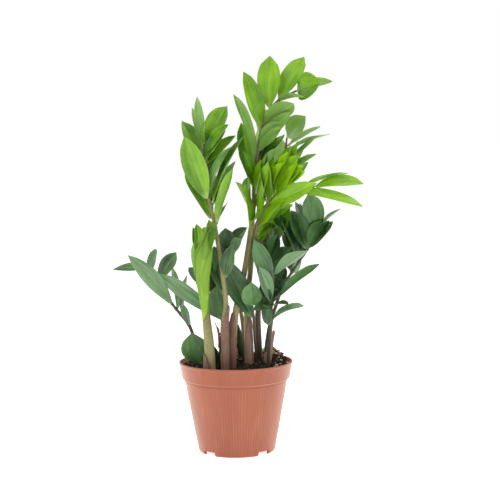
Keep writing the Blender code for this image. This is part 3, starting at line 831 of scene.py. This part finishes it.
def pot_outline():
    """(radius, height) down the inside from the floor's middle, and back along the outside to the foot."""
    band, shoulder = BAND_FOOT, SHOULDER
    inner_top = CHANNEL + FLOOR
    lip = 0.45 * MM
    bead_top, bead_low = shoulder[1] - 2.4 * MM, shoulder[1] - 3.4 * MM
    down_the_body = [share * bead_low for share in (0.96, 0.9, 0.75, 0.6, 0.45, 0.3, 0.15)]
    return rounded([
        (0.4 * MM, FLOOR, 0),
        (WELL - FLOOR, FLOOR, 1 * MM),
        (WELL - FLOOR + 0.7 * MM, inner_top, 1 * MM),
        (body_radius(inner_top) - WALL, inner_top, 2 * MM),
        (shoulder[0] - WALL, shoulder[1] - WALL, 0.5 * MM),
        (band[0] - WALL, band[1], 0.5 * MM),
        (RIM - WALL, POT_TOP - 1.6 * MM, 0.4 * MM),
        (RIM - 2.2 * MM, POT_TOP, 0.5 * MM),
        (RIM - 0.1 * MM, POT_TOP, 0.6 * MM),
        (RIM - 0.05 * MM, POT_TOP - 1.5 * MM, 0.4 * MM),
        (RIM - lip - 0.3 * MM, POT_TOP - 2.1 * MM, 0.4 * MM),
        (band[0] + 0.35 * MM, band[1] + 2 * MM, 0.5 * MM),
        (band[0], band[1], 0.7 * MM),
        (shoulder[0] + 0.1 * MM, shoulder[1], 0.7 * MM),
        (body_radius(bead_top), bead_top, 0.4 * MM),
        (body_radius(bead_top) + 0.3 * MM, bead_top - 0.35 * MM, 0.3 * MM),
        (body_radius(bead_low) + 0.3 * MM, bead_low + 0.2 * MM, 0.3 * MM),
        (body_radius(bead_low) - 0.05 * MM, bead_low, 0.4 * MM),
        *((body_radius(z), z, 0) for z in down_the_body),
        (body_radius(6 * MM), 6 * MM, 0),
        (FOOT + 0.1 * MM, 2.2 * MM, 1 * MM),
        (FOOT - 1.0 * MM, 0, 1.6 * MM),
        (FOOT - FOOT_RING, 0, 0.5 * MM),
        (FOOT - FOOT_RING - 0.5 * MM, CHANNEL, 0.8 * MM),
        (WELL + 0.7 * MM, CHANNEL, 0.8 * MM),
        (WELL, 0, 0.5 * MM),
        (0.4 * MM, 0, 0),
    ])


def cutter(name, shape, place, angle=0.0):
    """A bmesh as an object to cut with."""
    tool = placed(name, mesh_of(name, shape))
    tool.location = place
    tool.rotation_euler.z = angle
    return tool


def box_shape(size, rounding):
    shape = bmesh.new()
    bmesh.ops.create_cube(shape, size=1)
    bmesh.ops.scale(shape, vec=size, verts=shape.verts)
    bmesh.ops.bevel(shape, geom=shape.edges, offset=rounding, segments=4, affect="EDGES", profile=0.5)
    return shape


def pin_shape(radius, depth):
    shape = bmesh.new()
    bmesh.ops.create_cone(shape, cap_ends=True, segments=32, radius1=radius, radius2=radius, depth=depth)
    return shape


def with_cuts(mesh, tools):
    """The mesh after the tools are cut out of it; the tools are removed."""
    obj = placed("uncut", mesh)
    for tool in tools:
        modifier = obj.modifiers.new(tool.name, "BOOLEAN")
        modifier.operation = "DIFFERENCE"
        modifier.solver = "EXACT"
        modifier.object = tool
    made = evaluated_mesh(obj)
    for tool in tools:
        bpy.data.objects.remove(tool, do_unlink=True)
    return made


def build_pot():
    rings = []
    for radius, height in pot_outline():
        on_body = RIBS_FROM < height < RIBS_TO and radius > body_radius(height) - 0.4 * MM
        fade = smooth_step((height - RIBS_FROM) / (9 * MM)) * smooth_step((RIBS_TO - height) / (6 * MM))
        ring = []
        for step in range(POT_STEPS):
            angle = math.tau * step / POT_STEPS
            rib = RIB_HEIGHT * fade * abs(math.cos(RIBS / 2 * angle)) ** 0.6 if on_body else 0
            ring.append(((radius + rib) * math.cos(angle), (radius + rib) * math.sin(angle), height))
        rings.append(np.array(ring))
    tools = []
    for k in range(NOTCHES):
        angle = (k + 0.5) * math.tau / NOTCHES
        shape = box_shape((4 * FOOT_RING, NOTCH_WIDTH, 2 * NOTCH_HEIGHT), 0.9 * MM)
        place = (FOOT * math.cos(angle), FOOT * math.sin(angle), 0)
        tools.append(cutter(f"notch_{k}", shape, place, angle))
    for k in range(DRAINS):
        angle = (k + 0.5) * math.tau / DRAINS
        middle = (WELL + FOOT - FOOT_RING) / 2
        place = (middle * math.cos(angle), middle * math.sin(angle), CHANNEL + FLOOR / 2)
        tools.append(cutter(f"drain_{k}", pin_shape(DRAIN_RADIUS, 4 * FLOOR), place))
    mesh = with_cuts(loft("pot_shell", rings), tools)
    new_object("nursery_pot", mesh, pot_surface(), "terracotta_plastic", "pot")
    mesh.set_sharp_from_angle(angle=math.radians(38))


# ---------- soil ----------


SOIL_EDGE = 57 * MM
HEAP = 11 * MM
HEAP_PLACE = (38 * MM, 28 * MM)
HEAP_SPREAD = (17 * MM, 15 * MM)
CRUMB_COUNT = 1900
CRUMB_REACH = 56 * MM
CRUMB_EDGE = 56.5 * MM
CRUMB_SIZES = (0.5, 0.6, 0.8, 0.8, 1.0, 1.2, 1.5)


def from_voxels(node, name, size):
    """The node's mesh remade from small voxels, as a new mesh."""
    copy = placed(name, frame["nodes"][node].data.copy())
    remesh = copy.modifiers.new("voxels", "REMESH")
    remesh.mode = "VOXEL"
    remesh.voxel_size = size
    return evaluated_mesh(copy)


def heap(x, y):
    """How far the loose crumbs stand above the soil at a place, in metres."""
    away = ((x - HEAP_PLACE[0]) / HEAP_SPREAD[0]) ** 2
    return HEAP * math.exp(-away - ((y - HEAP_PLACE[1]) / HEAP_SPREAD[1]) ** 2)


def build_soil():
    """The soil with a lumpy top; its sides stay where the pot's wall holds them."""
    mesh = from_voxels("soil", "soil_bed", 1.0 * MM)
    tone = []
    for vertex in mesh.vertices:
        place = vertex.co
        lumps = noise.turbulence(place * 260, 3, False) - 0.35
        clods = noise.noise(place * 90)
        top = smooth_step((place.z - (SOIL_LEVEL - 6 * MM)) / (5 * MM))
        inside = smooth_step((SOIL_EDGE - Vector((place.x, place.y)).length) / (2.5 * MM))
        vertex.co.z += top * inside * (1.7 * MM * lumps + 1.1 * MM * clods + heap(place.x, place.y))
        tone.append(0.42 + 0.3 * clods + 0.25 * lumps)
    point_values(mesh, tone=tone)
    return new_object("soil_bed", mesh, SOIL, "potting_soil", "soil")


def build_crumbs(bed, stems):
    """Loose peat, bark and perlite lying on the soil, thicker and paler on the mound at the back right."""
    tree = bvhtree.BVHTree.FromObject(bed, bpy.context.evaluated_depsgraph_get())
    shape = bmesh.new()
    bmesh.ops.create_icosphere(shape, subdivisions=2, radius=1)
    ball = np.array([vertex.co for vertex in shape.verts])
    faces = [[vertex.index for vertex in face.verts] for face in shape.faces]
    shape.free()
    draw = random.Random(11)
    feet = [(stem.at_height(SOIL_LEVEL + 2 * MM)[0], stem.at_height(SOIL_LEVEL)[2]) for stem in stems]
    points, skin, tones = [], [], []
    count = 0
    while count < CRUMB_COUNT:
        angle, reach = draw.uniform(0, math.tau), CRUMB_REACH * math.sqrt(draw.random())
        x, y = reach * math.cos(angle), reach * math.sin(angle)
        size = draw.choice(CRUMB_SIZES) * MM
        mound = heap(x, y) / HEAP
        bright = draw.random()
        tone = 0.1 + 0.5 * draw.random() ** 2
        if draw.random() > 0.35 + mound:
            continue
        if bright < 0.07 + 0.8 * mound:
            tone, size = draw.uniform(0.7, 1.1), size * draw.uniform(0.7, 1.3)
        if any(math.hypot(x - foot.x, y - foot.y) < radius + size for foot, radius in feet):
            continue
        hit, _, _, _ = tree.ray_cast(Vector((x, y, POT_TOP + 40 * MM)), Vector((0, 0, -1)))
        if hit is None or hit.z < SOIL_LEVEL - 7 * MM or reach + size > CRUMB_EDGE:
            continue
        stretch = np.array([draw.uniform(0.6, 1.3), draw.uniform(0.6, 1.3), draw.uniform(0.5, 0.9)])
        turn = Matrix.Rotation(draw.uniform(0, math.tau), 3, "Z")
        turn = turn @ Matrix.Rotation(draw.uniform(-0.6, 0.6), 3, "X")
        offset = Vector((draw.random(), draw.random(), draw.random())) * 50
        rough = np.array([1 + 0.38 * noise.noise(Vector(p) * 1.3 + offset) for p in ball])
        lump = (ball * rough[:, None] * stretch * size) @ np.array(turn.transposed())
        rise = draw.uniform(0.1, 0.5) * size + mound * draw.uniform(0, 1.0) * MM
        base = len(points) * len(ball)
        points.append(lump + np.array([x, y, hit.z + rise]))
        skin += [[base + index for index in face] for face in faces]
        tones += [tone] * len(ball)
        count += 1
    mesh = bpy.data.meshes.new("soil_crumbs")
    mesh.from_pydata(np.concatenate(points).tolist(), [], skin)
    point_values(mesh, tone=tones)
    return new_object("soil_crumbs", mesh, CRUMBS, "potting_soil")


# ---------- the plant's tables ----------

STEMS = (
    "young_shoot_petiole", "left_stem", "tall_stem", "right_stem", "rear_stem", "thin_stem", "short_stem",
    "dark_stem", "old_stem", "pale_stem", "low_stem",
)
# How brown a stem is at its foot and at its end.
STEM_TONE = {
    "tall_stem": (0.0, 0.75), "left_stem": (0.1, 0.45), "rear_stem": (0.1, 0.3), "dark_stem": (0.9, 0.3),
}
# Each sheath's stem, and how reddish and how ragged it is.
SHEATHS = {
    "left_stem_sheath": ("left_stem", 0.0, 0.25), "tall_stem_sheath": ("tall_stem", 0.1, 0.3),
    "right_stem_sheath": ("right_stem", 0.0, 0.25), "old_stem_sheath": ("old_stem", 0.1, 0.5),
    "young_shoot_sheath": ("young_shoot_petiole", 0.0, 0.2), "dried_sheath": ("short_stem", 0.9, 0.5),
}

# How light each leaflet of the frame is and how much painted sheen washes it out, by stem, and the one by
# the soil.
FRAME_LEAFLETS = {
    "tall_stem": (
        (0.55, 0.05), (0.55, 0.1), (0.45, 0.0), (0.6, 0.3), (0.4, 0.0), (0.25, 0.7), (0.3, 0.6),
        (0.35, 0.55), (0.35, 0.0),
    ),
    "rear_stem": ((0.4, 0.6), (0.4, 0.9), (0.4, 0.8)),
    "right_stem": (
        (0.85, 0.0), (0.85, 0.0), (0.85, 0.0), (0.95, 0.15), (0.6, 0.2), (0.85, 0.0), (0.9, 0.1),
    ),
    "left_stem": ((0.5, 0.15), (0.45, 0.2), (0.5, 0.2), (0.4, 0.1), (0.35, 0.15)),
    "short_stem": ((0.3, 0.1), (0.4, 0.1), (0.55, 0.6)),
    "thin_stem": ((0.3, 0.05), (0.6, 0.05)),
    "old_stem": ((0.55, 0.15), (0.3, 0.05), (0.25, 0.05), (0.35, 0.1)),
    "pale_stem": ((0.45, 0.15), (0.5, 0.8), (0.4, 0.1)),
    "low_stem": ((0.6, 0.6), (0.35, 0.2), (0.35, 0.05)),
}
GROUND_LEAFLET = (0.45, 0.05)

# The smaller leaflets of each stem, numbered on from the frame's: their kind, and for each the height in
# millimetres where it joins, its reach from there to its tip, the way its upper face looks, width, arch,
# tone and paleness, which is painted sheen.
SMALL_LEAFLETS = {
    "tall_stem": ("bright_leaf", (
        (368, (25, -24, 1), (0, 0.3, 1), 18, 2, 0.5, 0.3),
        (302, (23, 24, 34), (-0.9, -0.5, 0.6), 16, 2, 0.1, 0.0),
        (287, (-15, 29, 27), (0.9, 0.5, 0.3), 16, 2, 0.4, 0.85),
        (278, (-12, -18, 38), (0.9, -0.5, 0), 16, 2, 0.15, 0.0),
        (259, (-5, -20, 30), (-1, -0.7, 0), 16, 2, 0.3, 0.0),
        (242, (8, -20, 28), (1, -0.7, 0), 15, 2, 0.5, 0.0),
        (251, (-18, 24, 32), (0.8, 0.5, 0.2), 14, 2, 0.4, 0.6),
        (331, (12, 36, 28), (-0.2, 1, 0.4), 18, 2, 0.4, 0.0),
        (312, (2, 38, 30), (0.3, 1, 0.4), 18, 2, 0.3, 0.0),
        (325, (32, -18, 30), (-0.2, 0.9, 0.4), 15, 2, 0.15, 0.3),
        (293, (32, 21, 39), (-0.8, -0.6, 0.3), 17, 2, 0.25, 0.2),
        (283, (24, -20, 35), (-0.9, -0.5, 0.3), 13, 2, 0.3, 0.85),
        (316, (23, -29, 24), (-0.3, 0.8, 0.6), 13, 2, 0.1, 0.1),
        (283, (-14, 19, 37), (0.5, -0.9, 0), 17, 2, 0.3, 0.85),
        (273, (16, 17, 33), (-0.8, -0.6, 0), 14, 2, 0.1, 0.1),
        (306, (17, 24, 25), (-0.7, -0.7, 0.4), 16, 2, 0.15, 0.3),
        (298, (20, 17, 32), (-0.7, -0.7, 0.4), 12, 2, 0.3, 0.85),
        (270, (14, -12, 42), (-0.9, -0.4, 0.2), 13, 2, 0.4, 0.5),
    )),
    "rear_stem": ("bright_leaf", (
        (320, (37, 11, 20), (0.2, -0.4, 1), 9, 2, 0.4, 0.8),
        (306, (26, -13, 22), (0, -0.4, 1), 10, 2, 0.4, 0.7),
        (296, (2, 30, 30), (0, 1, 0.5), 17, 2, 0.3, 0.0),
        (262, (22, 28, 22), (0.2, 1, 0.6), 17, 2, 0.35, 0.0),
        (95, (-5, -24, 40), (-0.5, -0.85, 0), 11, 1, 0.15, 0.1),
        (290, (38, -8, 39), (-0.6, -0.6, 0.5), 8, 2, 0.5, 0.9),
        (272, (31, -10, 43), (-0.6, -0.7, 0.4), 11, 2, 0.4, 0.7),
    )),
    "right_stem": ("bright_leaf", (
        (264, (17, -18, 50), (-1, -0.6, 0.2), 17, 2, 0.9, 0.0),
        (273, (14, -20, 38), (-0.8, -0.7, 0.3), 19, 2, 0.85, 0.0),
        (271, (22, -24, 29), (-0.6, -0.8, 0.5), 19, 2, 0.95, 0.0),
        (268, (29, -29, 26), (-0.3, -0.8, 0.8), 19, 2, 1.0, 0.0),
        (226, (33, 20, 34), (-0.8, -0.6, 0.4), 19, 2, 0.8, 0.0),
        (238, (28, -24, 27), (-0.7, -0.7, 0.5), 19, 2, 0.85, 0.0),
        (225, (-9, -26, 56), (1, -0.5, 0), 15, 2, 1.0, 0.1),
        (236, (40, 30, 22), (-0.5, -0.8, 0.5), 19, 2, 0.9, 0.0),
        (246, (26, 24, -20), (0.5, -0.4, 0.8), 12, 3, 1.0, 0.0),
        (272, (14, 34, 20), (-0.2, 0.8, 0.8), 17, 2, 0.8, 0.0),
        (262, (-4, 32, 30), (0.4, 0.9, 0.4), 17, 2, 0.7, 0.0),
        (256, (5, -19, 47), (-0.9, -0.5, 0.1), 19, 2, 0.8, 0.15),
        (270, (13, 7, 50), (-0.9, -0.5, 0.2), 19, 2, 0.85, 0.0),
        (272, (14, 12, 38), (-0.8, -0.6, 0.3), 19, 2, 0.95, 0.0),
        (250, (12, 22, 32), (-0.8, -0.6, 0.3), 19, 2, 0.8, 0.1),
        (262, (14, -25, 41), (-0.9, -0.5, 0.3), 19, 2, 0.75, 0.0),
        (274, (22, 13, 30), (-0.6, -0.8, 0.5), 12, 2, 0.6, 0.5),
        (231, (22, 16, 20), (-0.6, -0.7, 0.6), 19, 2, 0.7, 0.0),
        (223, (28, 21, 17), (-0.5, -0.8, 0.6), 19, 2, 0.65, 0.0),
        (216, (20, 10, 20), (-0.5, -0.8, 0.4), 12, 2, 0.5, 0.0),
        (266, (-6, -18, 38), (-0.7, -0.7, 0.2), 14, 2, 0.8, 0.2),
        (268, (-2, -10, 46), (-0.8, -0.6, 0.2), 14, 2, 0.9, 0.0),
        (270, (13, -14, 32), (-0.5, -0.8, 0.4), 19, 2, 1.0, 0.0),
    )),
    "left_stem": ("bright_leaf", (
        (312, (-12, 4, 48), (0.5, -0.85, 0), 9, 2, 0.5, 0.85),
        (318, (-7, 8, 53), (-0.2, -0.9, 0.1), 10, 2, 0.5, 0.95),
        (323, (1, -14, 22), (-0.6, -0.8, 0.3), 10, 1, 0.2, 0.1),
        (315, (25, -24, 27), (-0.5, -0.8, 0.5), 16, 2, 0.3, 0.0),
        (302, (14, 26, 36), (-0.8, -0.6, 0), 16, 2, 0.1, 0.0),
        (276, (25, -23, 44), (-0.8, -0.6, 0.2), 12, 2, 0.2, 0.5),
        (260, (26, 14, 45), (-0.7, -0.7, 0.3), 12, 2, 0.4, 0.9),
        (243, (20, -23, 55), (-0.8, -0.6, 0.1), 15, 2, 0.4, 0.3),
        (240, (13, 19, 22), (-0.9, -0.5, 0.4), 10, 1, 0.1, 0.0),
        (290, (-14, 34, 30), (-0.4, 1, 0.3), 18, 2, 0.5, 0.0),
        (266, (-6, 36, 34), (0.2, 1, 0.3), 18, 2, 0.45, 0.0),
        (309, (22, -19, 27), (-0.7, -0.7, 0.4), 13, 2, 0.2, 0.7),
        (298, (17, 17, 30), (-0.8, -0.6, 0.2), 12, 2, 0.1, 0.2),
        (288, (23, 20, 28), (-0.7, -0.7, 0.4), 12, 2, 0.25, 0.8),
        (261, (21, 17, 33), (-0.8, -0.6, 0.2), 13, 2, 0.3, 0.7),
        (309, (-17, 19, 31), (0.7, -0.7, 0.2), 14, 2, 0.5, 0.3),
        (168, (-14, 12, 46), (0.3, -1, 0), 17, 2, 0.2, 0.05),
        (186, (10, -14, 34), (-0.3, -1, 0.1), 15, 2, 0.2, 0.1),
        (303, (32, -14, 28), (-0.5, -0.8, 0.4), 13, 2, 0.3, 0.0),
        (292, (20, 12, 30), (-0.7, -0.7, 0.3), 9, 2, 0.4, 0.95),
        (283, (23, 6, 31), (-0.7, -0.7, 0.2), 10, 2, 0.2, 0.1),
        (306, (14, -14, 27), (-0.6, -0.8, 0.1), 11, 2, 0.15, 0.1),
    )),
    "short_stem": ("dark_leaf", (
        (210, (21, -18, 27), (-0.5, -0.9, 0.4), 15, 2, 0.2, 0.0),
        (206, (16, -20, 19), (-0.3, -0.8, 0.6), 16, 2, 0.4, 0.3),
        (192, (-6, 22, 32), (0.7, -0.7, 0), 14, 2, 0.3, 0.1),
        (169, (-11, 22, 34), (0.4, -0.9, 0), 17, 2, 0.2, 0.1),
        (164, (-36, 30, 28), (0.3, -0.9, 0.4), 20, 2, 0.05, 0.1),
        (179, (-10, -18, 39), (0.3, -0.9, 0), 17, 2, 0.25, 0.1),
        (189, (9, 22, 36), (-0.4, -0.9, 0.1), 16, 2, 0.15, 0.0),
        (160, (15, 20, 23), (-0.4, -0.9, 0.2), 17, 2, 0.05, 0.0),
        (171, (-25, 4, 19), (0.4, -0.8, 0.4), 18, 2, 0.1, 0.0),
        (92, (-8, -12, 24), (0.4, -0.9, 0), 9, 1, 0.0, 0.0),
    )),
    "dark_stem": ("dark_leaf", (
        (197, (-12, -26, 28), (0.6, -0.8, 0), 15, 2, 0.25, 0.0),
        (212, (8, 22, 26), (-0.5, -0.8, 0), 17, 2, 0.2, 0.0),
        (224, (14, -14, 24), (-0.7, -0.7, 0.2), 15, 2, 0.3, 0.0),
        (180, (20, 26, 22), (-0.4, -0.8, 0.4), 18, 2, 0.2, 0.0),
        (188, (-18, 30, 20), (0.3, 0.9, 0.4), 18, 2, 0.2, 0.0),
        (195, (-2, -12, 32), (0.2, -0.9, 0.2), 17, 2, 0.2, 0.0),
        (200, (12, -14, 28), (-0.2, -0.9, 0.2), 17, 2, 0.25, 0.0),
        (188, (28, -13, 26), (-0.3, -0.9, 0.3), 16, 2, 0.2, 0.0),
        (210, (24, 6, 46), (-0.5, -0.9, 0), 17, 2, 0.35, 0.0),
    )),
    "old_stem": ("dark_leaf", (
        (217, (-11, 23, 42), (0.8, -0.6, 0), 18, 2, 0.25, 0.0),
        (207, (-10, 25, 22), (0.7, -0.7, 0), 14, 2, 0.3, 0.0),
        (198, (-17, 20, 31), (0.6, -0.8, 0), 15, 2, 0.2, 0.0),
        (227, (27, -20, 27), (-0.2, -0.35, 1), 11, 2, 0.5, 0.9),
        (186, (10, 32, 20), (0.2, 1, 0.5), 18, 2, 0.3, 0.0),
        (197, (-16, 10, 31), (0.5, -0.8, 0.2), 17, 2, 0.25, 0.0),
        (213, (21, -12, 28), (-0.6, -0.7, 0.4), 13, 2, 0.25, 0.0),
        (188, (-21, 16, 20), (0.4, -0.8, 0.4), 17, 2, 0.2, 0.0),
        (210, (-17, -9, 42), (0.5, -0.9, 0.1), 21, 2, 0.3, 0.0),
        (211, (15, -6, 31), (-0.4, -0.9, 0.1), 17, 2, 0.4, 0.0),
        (204, (-6, 12, 34), (0.2, -0.9, 0.1), 18, 2, 0.3, 0.0),
    )),
    "pale_stem": ("dark_leaf", (
        (170, (12, 21, 17), (-0.3, -0.9, 0.3), 13, 1, 0.05, 0.0),
        (159, (-13, -21, 38), (0.5, -0.85, 0), 15, 2, 0.35, 0.5),
        (157, (-12, -16, 22), (0.5, -0.8, 0), 12, 1, 0.15, 0.0),
        (154, (-19, -16, -2), (0, -0.7, 0.7), 12, 1, 0.3, 0.1),
        (155, (17, -16, 2), (0, -0.35, 1), 12, 1, 0.35, 0.1),
        (140, (34, -14, 15), (-0.2, -0.4, 1), 15, 2, 0.5, 0.9),
        (134, (-8, -15, 23), (0.5, -0.8, 0), 13, 1, 0.2, 0.0),
        (160, (-16, -5, 40), (0.5, -0.8, 0.1), 16, 2, 0.1, 0.0),
        (160, (15, 17, 32), (-0.5, -0.8, 0.2), 16, 2, 0.1, 0.0),
        (147, (-9, 15, 30), (0.4, -0.8, 0.2), 15, 2, 0.05, 0.0),
    )),
    "low_stem": ("dark_leaf", (
        (189, (5, 14, 23), (-0.6, -0.8, 0.2), 13, 1, 0.45, 0.2),
        (134, (-4, -14, 23), (-0.5, -0.8, 0.1), 10, 1, 0.3, 0.1),
        (150, (-5, 23, 43), (0.6, -0.8, 0.2), 9, 2, 0.5, 0.9),
        (145, (6, 26, 38), (-0.6, -0.8, 0.2), 9, 1, 0.3, 0.7),
        (168, (-10, 32, 14), (0.1, 0.6, 0.8), 16, 2, 0.4, 0.1),
        (182, (-17, 17, 12), (0.2, -0.6, 0.8), 12, 2, 0.4, 0.2),
    )),
    "young_shoot": ("young_leaf", (
        (214, (-5, -9, 28), (0.5, -0.8, 0.2), 12, 3, 0.35, 0.0),
        (216, (15, -8, 20), (-0.3, -0.8, 0.6), 13, 4, 0.15, 0.0),
        (220, (7, -2, 26), (0.4, -0.9, 0.1), 11, 2, 0.3, 0.0),
        (212, (-9, 4, 26), (0.7, -0.7, 0.1), 12, 3, 0.5, 0.1),
    )),
}
# Leaflets of another kind than the rest of their stem.
ODD_LEAFLETS = {
    "rear_stem_leaflet_8": "dark_leaf", "dark_stem_leaflet_9": "bright_leaf",
    "left_stem_leaflet_22": "dark_leaf", "left_stem_leaflet_23": "dark_leaf",
}


def frame_leaflets():
    """(node, stem, tone, pale) of each leaflet of the frame."""
    for stem, looks in FRAME_LEAFLETS.items():
        for number, look in enumerate(looks, 1):
            yield f"{stem}_leaflet_{number}", stem, *look
    yield "ground_leaflet", "low_stem", *GROUND_LEAFLET


def small_leaflets():
    """(name, stem, slot, row) of each smaller leaflet."""
    for stem, (kind, rows) in SMALL_LEAFLETS.items():
        for number, row in enumerate(rows, len(FRAME_LEAFLETS.get(stem, ())) + 1):
            name = f"{stem}_leaflet_{number}"
            yield name, stem, ODD_LEAFLETS.get(name, kind), row


def build_plant():
    """Everything that grows; it returns the stems, in the order of STEMS."""
    stems = {name: Stem(name) for name in STEMS}
    spear = Stem("young_shoot_spear")
    shoot = Stem("young_shoot_spear").down(stems["young_shoot_petiole"])
    joints = {name: [] for name in (*stems, "young_shoot")}
    for node, owner, tone, pale in frame_leaflets():
        points = stems[owner].points
        base, tip, upper, width, arch = blade_of(node, stems[owner])
        start = Vector(points[np.linalg.norm(points - np.array(base), axis=1).argmin()])
        joints[owner].append(start)
        start = start.lerp(base, 0.3)
        leaflet(f"{node}_blade", SLOT[node], start, base, tip, upper, width, arch, tone, pale, node)
    for name, owner, slot, row in small_leaflets():
        height, reach, faces, width, arch, tone, pale = row
        stem = spear if owner == "young_shoot" else stems[owner]
        centre, along, radius = stem.at_height(height * MM)
        joints[owner].append(centre)
        tip = centre + Vector(reach) * MM
        axis = (tip - centre).normalized()
        outward = (axis - along * axis.dot(along)).normalized()
        base = centre + outward * (radius + STALK_LENGTH)
        start = centre + outward * radius * 0.4
        leaflet(name, slot, start, base, tip, Vector(faces), width * MM, arch * MM, tone, pale)
    for name, stem in stems.items():
        build_stem(name, stem, joints[name])
    for name, (owner, tone, ragged) in SHEATHS.items():
        build_sheath(name, stems[owner], tone, ragged)
    build_spear("young_shoot_spear", spear)
    for number, row in enumerate(FURLED, 1):
        build_furled(shoot, number, row)
    return list(stems.values())


# ---------- stage, light and camera ----------

FLOOR_RADIUS = 80
ROOM_STRENGTH = 0.34
LIGHTS_AIM = Vector((0, 0, 0.2))
# Name, place, size and watts.
LIGHTS = (
    ("key", (-0.8, -1.2, 1.3), (0.8, 0.8), 12), ("fill", (1.3, -0.9, 0.6), (0.8, 1.2), 4),
    ("top", (0.1, 0.2, 1.5), (0.9, 0.9), 8), ("left_edge", (-1.1, 0.5, 0.5), (0.5, 1.4), 7),
    ("right_edge", (1.1, 0.5, 0.5), (0.5, 1.4), 7),
)
CAMERA_PLACE = (0.0162, -1.372, 0.325)
CAMERA_PITCH, CAMERA_ROLL = 90 - 4.72, -0.66

def build_stage():
    """A white sweep: a floor that glows faintly, so that it meets the background with no line."""
    shape = bmesh.new()
    bmesh.ops.create_circle(shape, cap_ends=True, segments=128, radius=FLOOR_RADIUS)
    mesh = mesh_of("floor", shape)
    floor = placed("floor", mesh)
    pale = Surface("pale_floor", Roughness=0.9, Specular_IOR_Level=0.0, Emission_Strength=0.75)
    pale.shader.inputs["Base Color"].default_value = srgb(246, 246, 246)
    pale.shader.inputs["Emission Color"].default_value = (1, 1, 1, 1)
    mesh.materials.append(pale.material)


def area_light(name, place, size, watts):
    light = bpy.data.lights.new(name, "AREA")
    light.shape = "RECTANGLE"
    light.size, light.size_y = size
    light.energy = watts
    obj = placed(name, light)
    obj.location = place
    obj.rotation_euler = (LIGHTS_AIM - Vector(place)).to_track_quat("-Z", "Y").to_euler()


def build_light():
    """Soft boxes in a dimmer room, in front of a white background."""
    world = bpy.data.worlds.new("studio")
    bpy.context.scene.world = world
    world.use_nodes = True
    tree = world.node_tree
    seen = tree.nodes.new("ShaderNodeLightPath").outputs["Is Camera Ray"]
    strength = tree.nodes.new("ShaderNodeMapRange")
    strength.inputs["To Min"].default_value = ROOM_STRENGTH
    strength.inputs["To Max"].default_value = 1.0
    tree.links.new(seen, strength.inputs["Value"])
    tree.links.new(strength.outputs["Result"], tree.nodes["Background"].inputs["Strength"])
    tree.nodes["Background"].inputs["Color"].default_value = (1, 1, 1, 1)
    for light in LIGHTS:
        area_light(*light)
    bpy.context.scene.view_settings.view_transform = "Standard"


def build_camera():
    data = bpy.data.cameras.new("camera")
    data.sensor_width = 36
    data.lens = 94.7
    data.clip_start = 0.05
    camera = placed("camera", data)
    pitch = Matrix.Rotation(math.radians(CAMERA_PITCH), 4, "X")
    roll = Matrix.Rotation(math.radians(CAMERA_ROLL), 4, "Z")
    camera.matrix_world = Matrix.Translation(CAMERA_PLACE) @ (pitch @ roll)
    bpy.context.scene.camera = camera


build_camera()
build_light()
build_stage()
build_pot()
bed = build_soil()
build_crumbs(bed, build_plant())

bpy.context.view_layer.update()
